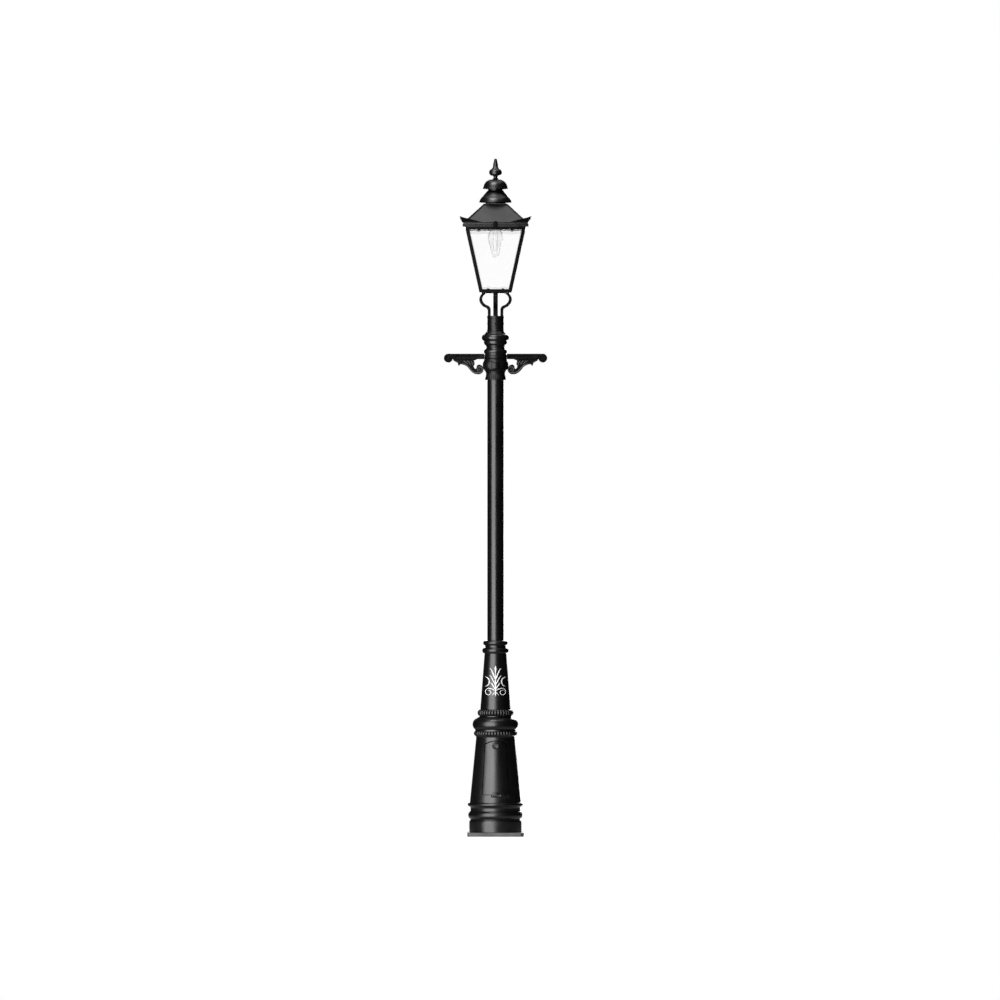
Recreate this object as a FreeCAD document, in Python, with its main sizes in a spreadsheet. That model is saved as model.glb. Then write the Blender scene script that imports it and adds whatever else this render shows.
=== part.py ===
"""Cast-iron street lamp post with a square tapered lantern, ladder arms and a hinged base door.

Millimetres, +Z up, origin at the middle of the root plate's underside. The front faces -Y.
"""
import FreeCAD, Part
import math
import os
import re

import Sketcher
from FreeCAD import Placement, Rotation, Vector

SIZES = {
    # root plate and pedestal castings
    "plate_side": 305, "plate_thick": 21, "plate_corner": 22, "anchor_pitch": 254,
    "anchor_hole": 18, "cable_entry": 140, "wall": 12,
    "plinth_radius": 142, "plinth_top": 84, "plinth_neck": 135,
    "foot_roll_radius": 147.4, "foot_roll_height": 113, "foot_roll_half": 22,
    "edge_roll_radius": 150, "edge_roll_height": 170, "edge_roll_half": 11,
    "pedestal_foot_radius": 138, "pedestal_foot": 186,
    "pedestal_head_radius": 104.5, "pedestal_head": 533,
    "bead_roll_radius": 117, "bead_roll_height": 553, "bead_roll_half": 14,
    "castings_joint": 575, "joint_radius": 110, "flange_bore": 66, "flange_thick": 12,
    "bolt_offset": 82, "bolt_across": 18, "bolt_head_thick": 7, "bolt_nut_thick": 9,
    "bolt_end": 12, "bolt_play": 0.5,
    "waist_roll_radius": 124, "waist_roll_height": 601, "waist_roll_half": 26,
    "waist_neck_radius": 87, "waist_neck": 644,
    "neck_roll_radius": 97.5, "neck_roll_height": 666, "neck_roll_half": 18,
    "neck_foot_radius": 81.8, "neck_foot": 690, "neck_head_radius": 59.4, "neck_head": 984,
    "cap_roll_radius": 71.8, "cap_roll_height": 1001, "cap_roll_half": 16, "cap_gap_radius": 56,
    "top_roll_radius": 67, "top_roll_height": 1042, "top_roll_half": 13, "socket_foot": 955,
    # door of the pedestal
    "door_foot": 225, "door_head": 513, "door_shoulder": 495, "door_foot_half": 72,
    "door_shoulder_half": 57, "door_gap": 2, "door_head_gap": 4, "door_thick": 9,
    "door_pin_depth": 142, "door_pin_height": 219, "pin_radius": 3, "pin_gap": 0.05,
    "knuckle_radius": 6.5, "door_knuckle": 18, "door_knuckle_end": 27, "knuckle_gap": 0.5,
    "lug_reach": 16,
    "lock_height": 489, "lock_radius": 17, "barrel_radius": 9, "lock_face": 114, "lock_back": 88,
    "tongue_half": 6, "tongue_reach": 20, "tongue_thick": 5, "key_depth": 8,
    # base compartment
    "board_width": 150, "board_thick": 15, "board_height": 250, "board_face": 40,
    "board_foot": 215, "board_stay_offset": 60, "board_stay_width": 20,
    "board_stay_length": 42, "board_stay_thick": 8,
    "cutout_half": 38, "cutout_foot": 300, "cutout_head": 420, "cutout_face": 18,
    "fuse_radius": 12, "fuse_height": 380, "fuse_thick": 7, "case_corner": 5,
    "gland_depth": 14, "gland_radius": 10, "gland_length": 12, "gland_nut_thick": 16,
    "gland_across": 30, "earth_offset": 48, "earth_height": 250, "earth_radius": 5,
    "earth_length": 22, "earth_across": 17, "earth_nut_thick": 8, "earth_nut_depth": 34,
    # shaft and capital
    "shaft_radius": 44.45, "shaft_wall": 6.3, "shaft_foot": 692, "shaft_head": 2598, "fit": 0.1,
    "spigot_radius": 38.05, "spigot_wall": 4, "spigot_foot": 2480, "spigot_head": 2800,
    "capital_foot": 2462, "capital_joint": 2598, "capital_head": 2724, "collar_radius": 45.4,
    "collar_head": 2808, "collar_screw_height": 2766, "collar_bore": 12,
    "bulb_roll_radius": 69, "bulb_roll_height": 2534,
    # arms
    "bar_top": 2604, "bar_depth": 30, "bar_thick": 16, "bar_root": 61.5, "bar_end": 255,
    "bar_roll_radius": 24, "bar_roll_thick": 24, "bracket_thick": 13, "stud_radius": 6,
    "arm_stud_height": 2589, "arm_stud_length": 30, "flute_depth": 2.5, "flute_low": 21,
    "flute_high": 9, "flute_start": 16, "flute_end": 42,
    # cradle
    "leg_width": 25, "cradle_plate_thick": 5, "cradle_top": 2932, "cradle_plate_radius": 76,
    # lantern frame
    "lantern_foot_half": 86.4, "lantern_head_half": 163.4, "lantern_head": 3283,
    "rail_height": 19, "top_rail_height": 12, "rail_width": 20, "bar_wall": 4,
    "pane_thick": 4, "pane_inset": 4.3, "pane_play": 0.5, "floor_thick": 3, "floor_hole": 14,
    "clip_width": 14, "clip_thick": 2.5, "clip_height": 4, "clip_gap": 0.3,
    "foot_clip_offset": 40, "head_clip_offset": 90,
    # lamp and its bridge
    "bridge_rise": 45, "bridge_width": 30, "bridge_thick": 3, "bridge_end_gap": 0.5, "bridge_tab": 11,
    "holder_radius": 22, "holder_length": 41, "socket_radius": 14.2, "socket_length": 30,
    "cap_radius": 13.8, "cap_length": 28, "gear_length": 110, "gear_width": 50,
    "gear_height": 34, "gear_corner": 6, "lamp_length": 158,
    # roof
    "eaves_half": 177.8, "eaves_foot": 3284, "eaves_top": 3311, "sheet_thick": 3,
    "roof_foot_half": 165, "roof_top_half": 58, "roof_top": 3411, "ear_half": 194.4,
    "ear_tip": 3343, "ear_wing": 119, "ear_thick": 5, "neck_radius": 54, "pipe_radius": 40,
    "skirt_radius": 89, "skirt_foot": 3420, "step_height": 3453, "dome_radius": 69,
    "dome_foot": 3493, "dome_top": 3550, "finial_foot": 3550, "finial_tip": 3658,
    "roof_pin_depth": 184.5, "roof_pin_height": 3283, "roof_knuckle_radius": 6,
    "roof_knuckle_length": 24, "roof_pin_end": 114, "roof_rod_length": 150, "roof_rod_radius": 6,
    # turn button
    "button_height": 3298, "button_width": 26, "button_top": 3312, "button_foot": 3272,
    "button_thick": 6, "button_face": 178.2, "button_knob_radius": 7, "button_knob_thick": 4,
    "keeper_width": 20, "keeper_height": 9, "keeper_thick": 3,
}

doc = FreeCAD.newDocument("street_lamp_post")
sheet = doc.addObject("Spreadsheet::Sheet", "Sizes")
for row, (alias, value) in enumerate(SIZES.items(), 1):
    sheet.set(f"A{row}", alias.replace("_", " "))
    sheet.set(f"B{row}", str(value))
    sheet.setAlias(f"B{row}", alias)
doc.recompute()

NODES = []


# ---------------------------------------------------------------- helpers

def linked(text):
    """An expression with every alias read from the sheet."""
    return re.sub(r"[a-z_]+", lambda word: f"Sizes.{word[0]}" if word[0] in SIZES else word[0], text)


def size(text):
    """The present value of an expression in sheet aliases."""
    return float(sheet.evalExpression(text))


def crown(across, up):
    """A point on an arc that joins its two neighbours in an outline."""
    return across, up, "crown"


def roll(name, inner_low, inner_high):
    """Three points of a rounded ring moulding."""
    return [(inner_low, f"{name}_height - {name}_half"),
            crown(f"{name}_radius", f"{name}_height"),
            (inner_high, f"{name}_height + {name}_half")]


def node(thing, label):
    """Name a finished sub-part and list it for export."""
    thing.Label = label
    NODES.append(thing)
    return thing


def new_body(label):
    return node(doc.addObject("PartDesign::Body", label), label)


def new_sketch(body, role, shift=None):
    """A sketch on one of the body's own origin planes, moved along its normal by an expression."""
    sketch = body.newObject("Sketcher::SketchObject", f"{body.Name}_sketch")
    plane = next(item for item in body.Origin.OriginFeatures if item.Role == role)
    sketch.AttachmentSupport = [(plane, "")]
    sketch.MapMode = "FlatFace"
    if shift:
        sketch.setExpression("AttachmentOffset.Base.z", linked(shift))
    return sketch


def pin_point(sketch, geometry, end, across, up):
    """Fix one sketch point by two dimensions that read the sheet."""
    for kind, text in (("DistanceX", across), ("DistanceY", up)):
        value = size(text)
        if abs(value) < 1e-9:
            other = "PointOnObject"
            axis = -2 if kind == "DistanceX" else -1
            sketch.addConstraint(Sketcher.Constraint(other, geometry, end, axis))
            continue
        index = sketch.addConstraint(Sketcher.Constraint(kind, -1, 1, geometry, end, value))
        sketch.setExpression(f"Constraints[{index}]", linked(text))


def which_end(sketch, geometry, point):
    start = sketch.Geometry[geometry].StartPoint
    return 1 if (start - point).Length < 1e-6 else 2


def loop(sketch, points):
    """Draw a closed outline of lines and arcs through points given as expressions."""
    spots = [Vector(size(point[0]), size(point[1]), 0) for point in points]
    corners = [index for index, point in enumerate(points) if len(point) == 2]
    spans = []
    for step, first in enumerate(corners):
        last = corners[(step + 1) % len(corners)]
        middle = (first + 1) % len(points)
        if middle == last:
            span = sketch.addGeometry(Part.LineSegment(spots[first], spots[last]))
        else:
            bend = (spots[middle] - spots[first]).cross(spots[last] - spots[middle]).z
            start, end = (first, last) if bend > 0 else (last, first)
            span = sketch.addGeometry(Part.Arc(spots[start], spots[middle], spots[end]))
        spans.append((span, first, middle, last))
    for step, (span, first, middle, last) in enumerate(spans):
        start = which_end(sketch, span, spots[first])
        pin_point(sketch, span, start, *points[first])
        following = spans[(step + 1) % len(spans)][0]
        sketch.addConstraint(Sketcher.Constraint("Coincident", span, 3 - start, following,
                                                 which_end(sketch, following, spots[last])))
        if middle != last:
            mark = sketch.addGeometry(Part.Point(spots[middle]), True)
            pin_point(sketch, mark, 1, *points[middle][:2])
            sketch.addConstraint(Sketcher.Constraint("PointOnObject", mark, 1, span))


def ring_of(sketch, across, up, radius):
    """Draw a circle given by expressions."""
    centre = Vector(size(across), size(up), 0)
    circle = sketch.addGeometry(Part.Circle(centre, Vector(0, 0, 1), size(radius)))
    pin_point(sketch, circle, 3, across, up)
    index = sketch.addConstraint(Sketcher.Constraint("Radius", circle, size(radius)))
    sketch.setExpression(f"Constraints[{index}]", linked(radius))


def rectangle(low_across, low_up, high_across, high_up):
    return [(low_across, low_up), (high_across, low_up),
            (high_across, high_up), (low_across, high_up)]


def pad(body, sketch, length, middle=False):
    feature = body.newObject("PartDesign::Pad", f"{body.Name}_pad")
    feature.Profile = sketch
    feature.setExpression("Length", linked(length))
    feature.Midplane = middle
    return feature


def cut(body, sketch, length=None, middle=False, back=False):
    """Pocket through a stated length, and make sure that it removed something."""
    before = body.Shape.Volume
    feature = body.newObject("PartDesign::Pocket", f"{body.Name}_pocket")
    feature.Profile = sketch
    feature.Midplane = middle
    feature.Reversed = back
    feature.setExpression("Length", linked(length))
    doc.recompute()
    if body.Shape.Volume > before - 1:
        raise RuntimeError(f"{body.Label}: pocket removed nothing")
    return feature


def turn(body, points, remove=False):
    """Turn an outline about the post's axis, adding it or cutting it away."""
    sketch = new_sketch(body, "XZ_Plane")
    loop(sketch, points)
    before = body.Shape.Volume if remove else 0
    kind = "PartDesign::Groove" if remove else "PartDesign::Revolution"
    feature = body.newObject(kind, f"{body.Name}_turned")
    feature.Profile = sketch
    feature.ReferenceAxis = (sketch, ["V_Axis"])
    feature.Angle = 360
    doc.recompute()
    if remove and body.Shape.Volume > before - 1:
        raise RuntimeError(f"{body.Label}: groove removed nothing")
    return feature


def turned_body(label, points):
    body = new_body(label)
    turn(body, points)
    return body


def around(body, feature, count):
    """Repeat a feature round the post's axis."""
    pattern = body.newObject("PartDesign::PolarPattern", f"{body.Name}_pattern")
    pattern.Originals = [feature]
    z_axis = next(item for item in body.Origin.OriginFeatures if item.Role == "Z_Axis")
    pattern.Axis = (z_axis, [""])
    pattern.Angle = 360
    pattern.Occurrences = count
    body.Tip = pattern
    doc.recompute()
    return pattern


def cylinder(name, radius, length, place):
    """A Part cylinder whose radius and length read the sheet."""
    thing = doc.addObject("Part::Cylinder", name)
    thing.setExpression("Radius", linked(radius))
    thing.setExpression("Height", linked(length))
    thing.Placement = place
    return thing


def block(name, length, width, height, place):
    thing = doc.addObject("Part::Box", name)
    thing.setExpression("Length", linked(length))
    thing.setExpression("Width", linked(width))
    thing.setExpression("Height", linked(height))
    thing.Placement = place
    return thing


def fused(label, things):
    joined = doc.addObject("Part::MultiFuse", label)
    joined.Shapes = things
    return node(joined, label)


def grouped(label, things):
    """Separate identical solids in one node."""
    group = doc.addObject("Part::Compound", label)
    group.Links = things
    return node(group, label)


def at(x, y, z, rotation=None):
    return Placement(Vector(x, y, z), rotation or Rotation())


ALONG_X = Rotation(Vector(0, 1, 0), 90)
TOWARDS_FRONT = Rotation(Vector(1, 0, 0), 90)
HALF_TURN = Rotation(Vector(0, 0, 1), 180)


def quarter(count):
    return Rotation(Vector(0, 0, 1), 90 * count)


# ---------------------------------------------------------------- pedestal

def base_plate():
    """Square plate with rounded corners, four anchor holes and the cable entry."""
    body = new_body("base_plate")
    sketch = new_sketch(body, "XY_Plane")
    loop(sketch, rectangle("-plate_side / 2", "-plate_side / 2", "plate_side / 2", "plate_side / 2"))
    slab = pad(body, sketch, "plate_thick")
    doc.recompute()
    upright = [f"Edge{index}" for index, edge in enumerate(slab.Shape.Edges, 1)
               if abs(edge.tangentAt(edge.FirstParameter).z) > 0.9]
    rounding = body.newObject("PartDesign::Fillet", "plate_corners")
    rounding.Base = (slab, upright)
    rounding.setExpression("Radius", linked("plate_corner"))
    doc.recompute()
    entry = new_sketch(body, "XY_Plane")
    ring_of(entry, "0", "0", "cable_entry / 2")
    cut(body, entry, "plate_thick", back=True)
    hole = new_sketch(body, "XY_Plane")
    ring_of(hole, "anchor_pitch / 2", "anchor_pitch / 2", "anchor_hole / 2")
    around(body, cut(body, hole, "plate_thick", back=True), 4)


PEDESTAL_OUTSIDE = [
    ("plinth_radius", "plate_thick"),
    ("plinth_radius", "plinth_top"),
    ("plinth_neck", "plinth_top + 4"),
    *roll("foot_roll", "plinth_neck", "plinth_neck"),
    ("plinth_neck", "edge_roll_height - edge_roll_half - 8"),
    *roll("edge_roll", "plinth_neck + 3", "pedestal_foot_radius"),
    ("pedestal_foot_radius", "pedestal_foot"),
    ("pedestal_head_radius", "pedestal_head"),
    *roll("bead_roll", "pedestal_head_radius + 2", "joint_radius"),
    ("joint_radius", "castings_joint"),
]


def door_opening(grow, head_gap):
    """Front view of the door, or of its opening when grown by the gap."""
    foot_half = f"door_foot_half + {grow}"
    shoulder_half = f"door_shoulder_half + {grow}"
    return [(f"-({foot_half})", f"door_foot - {grow}"),
            (foot_half, f"door_foot - {grow}"),
            (shoulder_half, f"door_shoulder + {head_gap}"),
            crown("0", f"door_head + {head_gap}"),
            (f"-({shoulder_half})", f"door_shoulder + {head_gap}")]


def knuckle_profile(body, start):
    """Hinge barrel seen along X; start is the sketch's place along X."""
    sketch = new_sketch(body, "YZ_Plane", start)
    ring_of(sketch, "-door_pin_depth", "door_pin_height", "knuckle_radius")
    return sketch


def lug_profile(body, start, low, high):
    """Lug that ties a hinge barrel to the curved wall behind it."""
    sketch = new_sketch(body, "YZ_Plane", start)
    loop(sketch, rectangle("-door_pin_depth", low, "-door_pin_depth + lug_reach", high))
    return sketch


def pin_bore(body, radius):
    bore = new_sketch(body, "YZ_Plane")
    ring_of(bore, "-door_pin_depth", "door_pin_height", radius)
    cut(body, bore, "4 * door_knuckle_end", middle=True)


def base_casting():
    """Hollow plinth and tapered pedestal with the door opening and its hinge lugs."""
    inside = [
        ("flange_bore", "castings_joint"),
        ("flange_bore", "castings_joint - flange_thick"),
        ("pedestal_head_radius - wall", "castings_joint - flange_thick"),
        ("pedestal_head_radius - wall", "pedestal_head"),
        ("pedestal_foot_radius - wall", "pedestal_foot"),
        ("plinth_neck - wall", "edge_roll_height"),
        ("plinth_neck - wall", "plinth_top"),
        ("plinth_radius - wall", "plinth_top - wall"),
        ("plinth_radius - wall", "plate_thick + wall"),
        ("cable_entry / 2 + 20", "plate_thick + wall"),
        ("cable_entry / 2 + 20", "plate_thick"),
    ]
    body = turned_body("base_casting", PEDESTAL_OUTSIDE + inside)
    opening = new_sketch(body, "XZ_Plane")
    loop(opening, door_opening("door_gap", "door_head_gap"))
    cut(body, opening, "plinth_radius + 20", back=True)
    length = "door_knuckle_end - door_knuckle"
    for start in ("door_knuckle + knuckle_gap", "-door_knuckle_end - knuckle_gap"):
        pad(body, knuckle_profile(body, start), length)
        doc.recompute()
        lug = lug_profile(body, start, "door_pin_height - knuckle_radius", "door_pin_height + 1")
        pad(body, lug, length)
        doc.recompute()
    pin_bore(body, "pin_radius + pin_gap")
    bolt_holes(body, "castings_joint - flange_thick - 1", "flange_thick + 5")


def bolt_holes(body, start, length):
    """Two holes for the bolts that join the castings."""
    for across in ("bolt_offset", "-bolt_offset"):
        shank = new_sketch(body, "XY_Plane", start)
        ring_of(shank, across, "0", "stud_radius + bolt_play")
        cut(body, shank, length, back=True)


def upper_casting():
    """Hollow waist and tapered neck, bored at the top to take the shaft."""
    outside = [
        ("joint_radius", "castings_joint"),
        crown("waist_roll_radius", "waist_roll_height"),
        ("joint_radius", "waist_roll_height + waist_roll_half + 4"),
        ("waist_neck_radius", "waist_neck"),
        *roll("neck_roll", "waist_neck_radius", "neck_foot_radius"),
        ("neck_foot_radius", "neck_foot"),
        ("neck_head_radius", "neck_head"),
        *roll("cap_roll", "neck_head_radius", "cap_gap_radius"),
        ("cap_gap_radius", "top_roll_height - top_roll_half - 4"),
        *roll("top_roll", "cap_gap_radius", "cap_gap_radius - 4"),
    ]
    inside = [
        ("shaft_radius + fit", "top_roll_height + top_roll_half"),
        ("shaft_radius + fit", "socket_foot"),
        ("neck_head_radius - wall + 1", "socket_foot - 8"),
        ("neck_foot_radius - wall", "neck_foot"),
        ("neck_foot_radius - wall", "shaft_foot - 12"),
        ("flange_bore", "shaft_foot - 12"),
        ("flange_bore", "waist_neck + 8"),
        ("joint_radius - wall", "waist_roll_height + 20"),
        ("joint_radius - wall", "castings_joint + flange_thick"),
        ("flange_bore", "castings_joint + flange_thick"),
        ("flange_bore", "castings_joint"),
    ]
    body = turned_body("upper_casting", outside + inside)
    bolt_holes(body, "castings_joint", "flange_thick + 1")
    screw_holes(body, "top_roll_height", "top_roll_radius")


def screw_holes(body, height, reach):
    """Four radial holes for grub screws."""
    hole = new_sketch(body, "YZ_Plane")
    ring_of(hole, "0", height, "stud_radius - 1")
    cut(body, hole, f"{reach} * 2 + 4", middle=True)
    other = new_sketch(body, "XZ_Plane")
    ring_of(other, "0", height, "stud_radius - 1")
    cut(body, other, f"{reach} * 2 + 4", middle=True)


def hex_prism(name, across, thick, place):
    """Hexagon head or nut, across its flats."""
    prism = doc.addObject("Part::Prism", name)
    prism.Polygon = 6
    prism.setExpression("Circumradius", linked(f"({across}) / sqrt(3)"))
    prism.setExpression("Height", linked(thick))
    prism.Placement = place
    return prism


def flange_bolts():
    """Two bolts with nuts that pull the two castings together."""
    bolts = []
    low = size("castings_joint - flange_thick")
    high = size("castings_joint + flange_thick")
    for side in (-1, 1):
        x = side * size("bolt_offset")
        shank = cylinder(f"shank_{side + 1}", "stud_radius", "2 * flange_thick + bolt_end",
                         at(x, 0, low - size("bolt_end")))
        head = hex_prism(f"head_{side + 1}", "bolt_across", "bolt_head_thick", at(x, 0, high))
        nut = hex_prism(f"nut_{side + 1}", "bolt_across", "bolt_nut_thick",
                        at(x, 0, low - size("bolt_nut_thick")))
        bolt = doc.addObject("Part::MultiFuse", f"bolt_{side + 1}")
        bolt.Shapes = [shank, head, nut]
        bolts.append(bolt)
    grouped("flange_bolts", bolts)


def set_screws():
    """Grub screws round the shaft's socket, the capital and the cradle's collar."""
    screws = []
    rings = [("top_roll_height", "shaft_radius + 0.05", "top_roll_radius - 1"),
             ("collar_screw_height", "spigot_radius + 0.05", "collar_radius - 0.5")]
    for level, (height, inner, outer) in enumerate(rings):
        for count in range(4):
            turned = quarter(count)
            start = turned.multVec(Vector(size(inner), 0, size(height)))
            name = f"grub_{level}_{count}"
            screws.append(cylinder(name, "stud_radius - 1.1", f"{outer} - ({inner})",
                                   Placement(start, turned.multiply(ALONG_X))))
    grouped("set_screws", screws)


def shaft_parts():
    """Parallel tube on its seat ring, and the spigot tube in its head."""
    turned_body("shaft_seat", rectangle("30", "shaft_foot - 12",
                                        "neck_foot_radius - wall - 0.5", "shaft_foot"))
    turned_body("shaft_tube", rectangle("shaft_radius - shaft_wall", "shaft_foot",
                                        "shaft_radius", "shaft_head"))
    turned_body("spigot_tube", rectangle("spigot_radius - spigot_wall", "spigot_foot",
                                         "spigot_radius", "spigot_head"))


# ---------------------------------------------------------------- door and lock

def wall_radius(height):
    """Outside radius of the tapered pedestal at a height, as an expression."""
    slope = "(pedestal_foot_radius - pedestal_head_radius) / (pedestal_head - pedestal_foot)"
    return f"pedestal_foot_radius - ({height} - pedestal_foot) * {slope}"


def door_panel():
    """Curved door cut from the same taper, with its hinge barrel and the lock's hole."""
    body = new_body("door_panel")
    sketch = new_sketch(body, "XZ_Plane")
    loop(sketch, door_opening("0", "0"))
    pad(body, sketch, "plinth_radius + 20")
    doc.recompute()
    low, high = "pedestal_foot", "pedestal_head"
    outside = [(wall_radius(low), low), ("plinth_radius + 200", low),
               ("plinth_radius + 200", high), (wall_radius(high), high)]
    turn(body, outside, remove=True)
    inside = [("0", low), (f"{wall_radius(low)} - door_thick", low),
              (f"{wall_radius(high)} - door_thick", high), ("0", high)]
    turn(body, inside, remove=True)
    half = "-door_knuckle + knuckle_gap"
    length = "2 * (door_knuckle - knuckle_gap)"
    pad(body, knuckle_profile(body, half), length)
    doc.recompute()
    lug = new_sketch(body, "YZ_Plane", half)
    loop(lug, [("-door_pin_depth - knuckle_radius", "door_pin_height"),
               ("-door_pin_depth + 5", "door_pin_height"),
               ("-door_pin_depth + 7", "door_foot"),
               ("-door_pin_depth + lug_reach", "door_foot + 0.5"),
               ("-door_pin_depth + lug_reach", "door_foot + 16"),
               ("-door_pin_depth + 4", "door_foot + 16")])
    pad(body, lug, length)
    doc.recompute()
    pin_bore(body, "pin_radius + pin_gap")
    hole = new_sketch(body, "XZ_Plane")
    ring_of(hole, "0", "lock_height", "lock_radius + fit")
    cut(body, hole, "plinth_radius + 20", back=True)


def lock_parts():
    """Round lock body in the door, and the turning barrel with its short tongue."""
    body = new_body("lock_body")
    sketch = new_sketch(body, "XZ_Plane", "lock_back")
    ring_of(sketch, "0", "lock_height", "lock_radius")
    ring_of(sketch, "0", "lock_height", "barrel_radius + pin_gap")
    pad(body, sketch, "lock_face - lock_back")
    doc.recompute()
    barrel = new_body("lock_barrel")
    core = new_sketch(barrel, "XZ_Plane", "lock_back - 1")
    ring_of(core, "0", "lock_height", "barrel_radius")
    pad(barrel, core, "lock_face - lock_back + 2")
    doc.recompute()
    tongue = new_sketch(barrel, "XZ_Plane", "lock_back - tongue_thick - 1")
    loop(tongue, rectangle("-tongue_half", "lock_height - barrel_radius",
                           "tongue_half", "lock_height + tongue_reach"))
    pad(barrel, tongue, "tongue_thick")
    doc.recompute()
    key = new_sketch(barrel, "XZ_Plane", "lock_face + 1")
    loop(key, [("-4.5", "lock_height - 2.6"), ("4.5", "lock_height - 2.6"),
               ("0", "lock_height + 5.2")])
    cut(barrel, key, "key_depth + 1")


def door_pin():
    body = new_body("door_hinge_pin")
    sketch = new_sketch(body, "YZ_Plane", "-door_knuckle_end - 2")
    ring_of(sketch, "-door_pin_depth", "door_pin_height", "pin_radius")
    pad(body, sketch, "2 * door_knuckle_end + 4")


# ---------------------------------------------------------------- base compartment

def compartment_parts():
    """Board, cut-out, gland and earth stud inside the pedestal."""
    front = size("board_face")
    board = block("board", "board_width", "board_thick", "board_height",
                  at(-size("board_width / 2"), front, size("board_foot")))
    stay_place = Vector(-size("board_stay_width / 2"), front + size("board_thick"), size("board_foot + 7"))
    stays = []
    for side in (-1, 1):
        shift = Vector(side * size("board_stay_offset"), 0, 0)
        stays.append(block(f"board_stay_{side + 1}", "board_stay_width", "board_stay_length",
                           "board_stay_thick", Placement(stay_place + shift, Rotation())))
    fused("backboard", [board] + stays)
    fused_cutout()
    level = size("cutout_foot")
    stem = cylinder("gland_stem", "gland_radius", "gland_length",
                    at(0, size("gland_depth"), level - size("gland_length")))
    nut = hex_prism("gland_nut", "gland_across", "gland_nut_thick",
                    at(0, size("gland_depth"), level - size("gland_length + gland_nut_thick")))
    fused("cable_gland", [stem, nut])
    across, up = size("earth_offset"), size("earth_height")
    stud = cylinder("stud_rod", "earth_radius", "earth_length", at(across, front, up, TOWARDS_FRONT))
    nut = hex_prism("stud_nut", "earth_across", "earth_nut_thick",
                    at(across, size("earth_nut_depth"), up, TOWARDS_FRONT))
    fused("earth_stud", [stud, nut])


def fused_cutout():
    """Moulded case on the board, with the head of its fuse carrier."""
    body = new_body("fused_cutout")
    sketch = new_sketch(body, "XZ_Plane", "-board_face")
    loop(sketch, rectangle("-cutout_half", "cutout_foot", "cutout_half", "cutout_head"))
    case = pad(body, sketch, "board_face + cutout_face")
    doc.recompute()
    edges = [f"Edge{index}" for index, edge in enumerate(case.Shape.Edges, 1)
             if abs(edge.tangentAt(edge.FirstParameter).y) > 0.9]
    rounding = body.newObject("PartDesign::Fillet", "case_corners")
    rounding.Base = (case, edges)
    rounding.setExpression("Radius", linked("case_corner"))
    doc.recompute()
    fuse = new_sketch(body, "XZ_Plane", "cutout_face")
    ring_of(fuse, "0", "fuse_height", "fuse_radius")
    pad(body, fuse, "fuse_thick")
    doc.recompute()


# ---------------------------------------------------------------- capital and arms

BULB_OUTSIDE = [
    ("51", "capital_foot + 36"),
    ("55", "capital_foot + 47"),
    crown("bulb_roll_radius", "bulb_roll_height"),
    ("62.5", "capital_joint - 32"),
    ("61", "capital_joint - 24"),
]


def capital_boss():
    """Skirted bulb that carries the arms."""
    outline = [
        ("shaft_radius + fit", "capital_foot"),
        ("57", "capital_foot"),
        ("57", "capital_foot + 4"),
        ("51.6", "capital_foot + 28"),
        *BULB_OUTSIDE,
        ("61", "capital_joint"),
        ("shaft_radius + fit", "capital_joint"),
    ]
    body = turned_body("capital_boss", outline)
    hole = new_sketch(body, "YZ_Plane")
    ring_of(hole, "0", "arm_stud_height", "stud_radius + 0.1")
    cut(body, hole, "200", middle=True)


def capital_crown():
    """Rings above the arms, bored for the spigot tube."""
    outline = [
        ("spigot_radius + fit", "capital_joint"),
        ("58", "capital_joint"),
        ("58", "capital_joint + 7"),
        crown("63", "capital_joint + 19"),
        ("54", "capital_joint + 30"),
        ("48", "capital_joint + 39"),
        ("53", "capital_joint + 51"),
        crown("62.5", "capital_joint + 64"),
        ("62", "capital_joint + 74"),
        crown("74.5", "capital_joint + 93"),
        ("60", "capital_joint + 111"),
        ("47", "capital_head"),
        ("spigot_radius + fit", "capital_head"),
    ]
    turned_body("capital_crown", outline)


def ladder_bar(label, rotation):
    """Moulded bar with a recessed flank and a rolled end."""
    body = new_body(label)
    side = new_sketch(body, "XZ_Plane")
    loop(side, rectangle("bar_root", "bar_top - bar_depth", "bar_end", "bar_top"))
    pad(body, side, "bar_thick", middle=True)
    doc.recompute()
    end = new_sketch(body, "XZ_Plane")
    ring_of(end, "bar_end", "bar_top - bar_roll_radius", "bar_roll_radius")
    pad(body, end, "bar_roll_thick", middle=True)
    doc.recompute()
    for shift in ("-bar_thick / 2 - 1", "bar_thick / 2 - flute_depth"):
        flute = new_sketch(body, "XZ_Plane", shift)
        loop(flute, rectangle("bar_root + flute_start", "bar_top - flute_low",
                              "bar_end - flute_end", "bar_top - flute_high"))
        cut(body, flute, "flute_depth + 1", back=True)
    hole = new_sketch(body, "YZ_Plane", "bar_root - 1")
    ring_of(hole, "0", "arm_stud_height", "stud_radius + 0.1")
    cut(body, hole, "16", back=True)
    body.Placement = Placement(Vector(), rotation)


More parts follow.
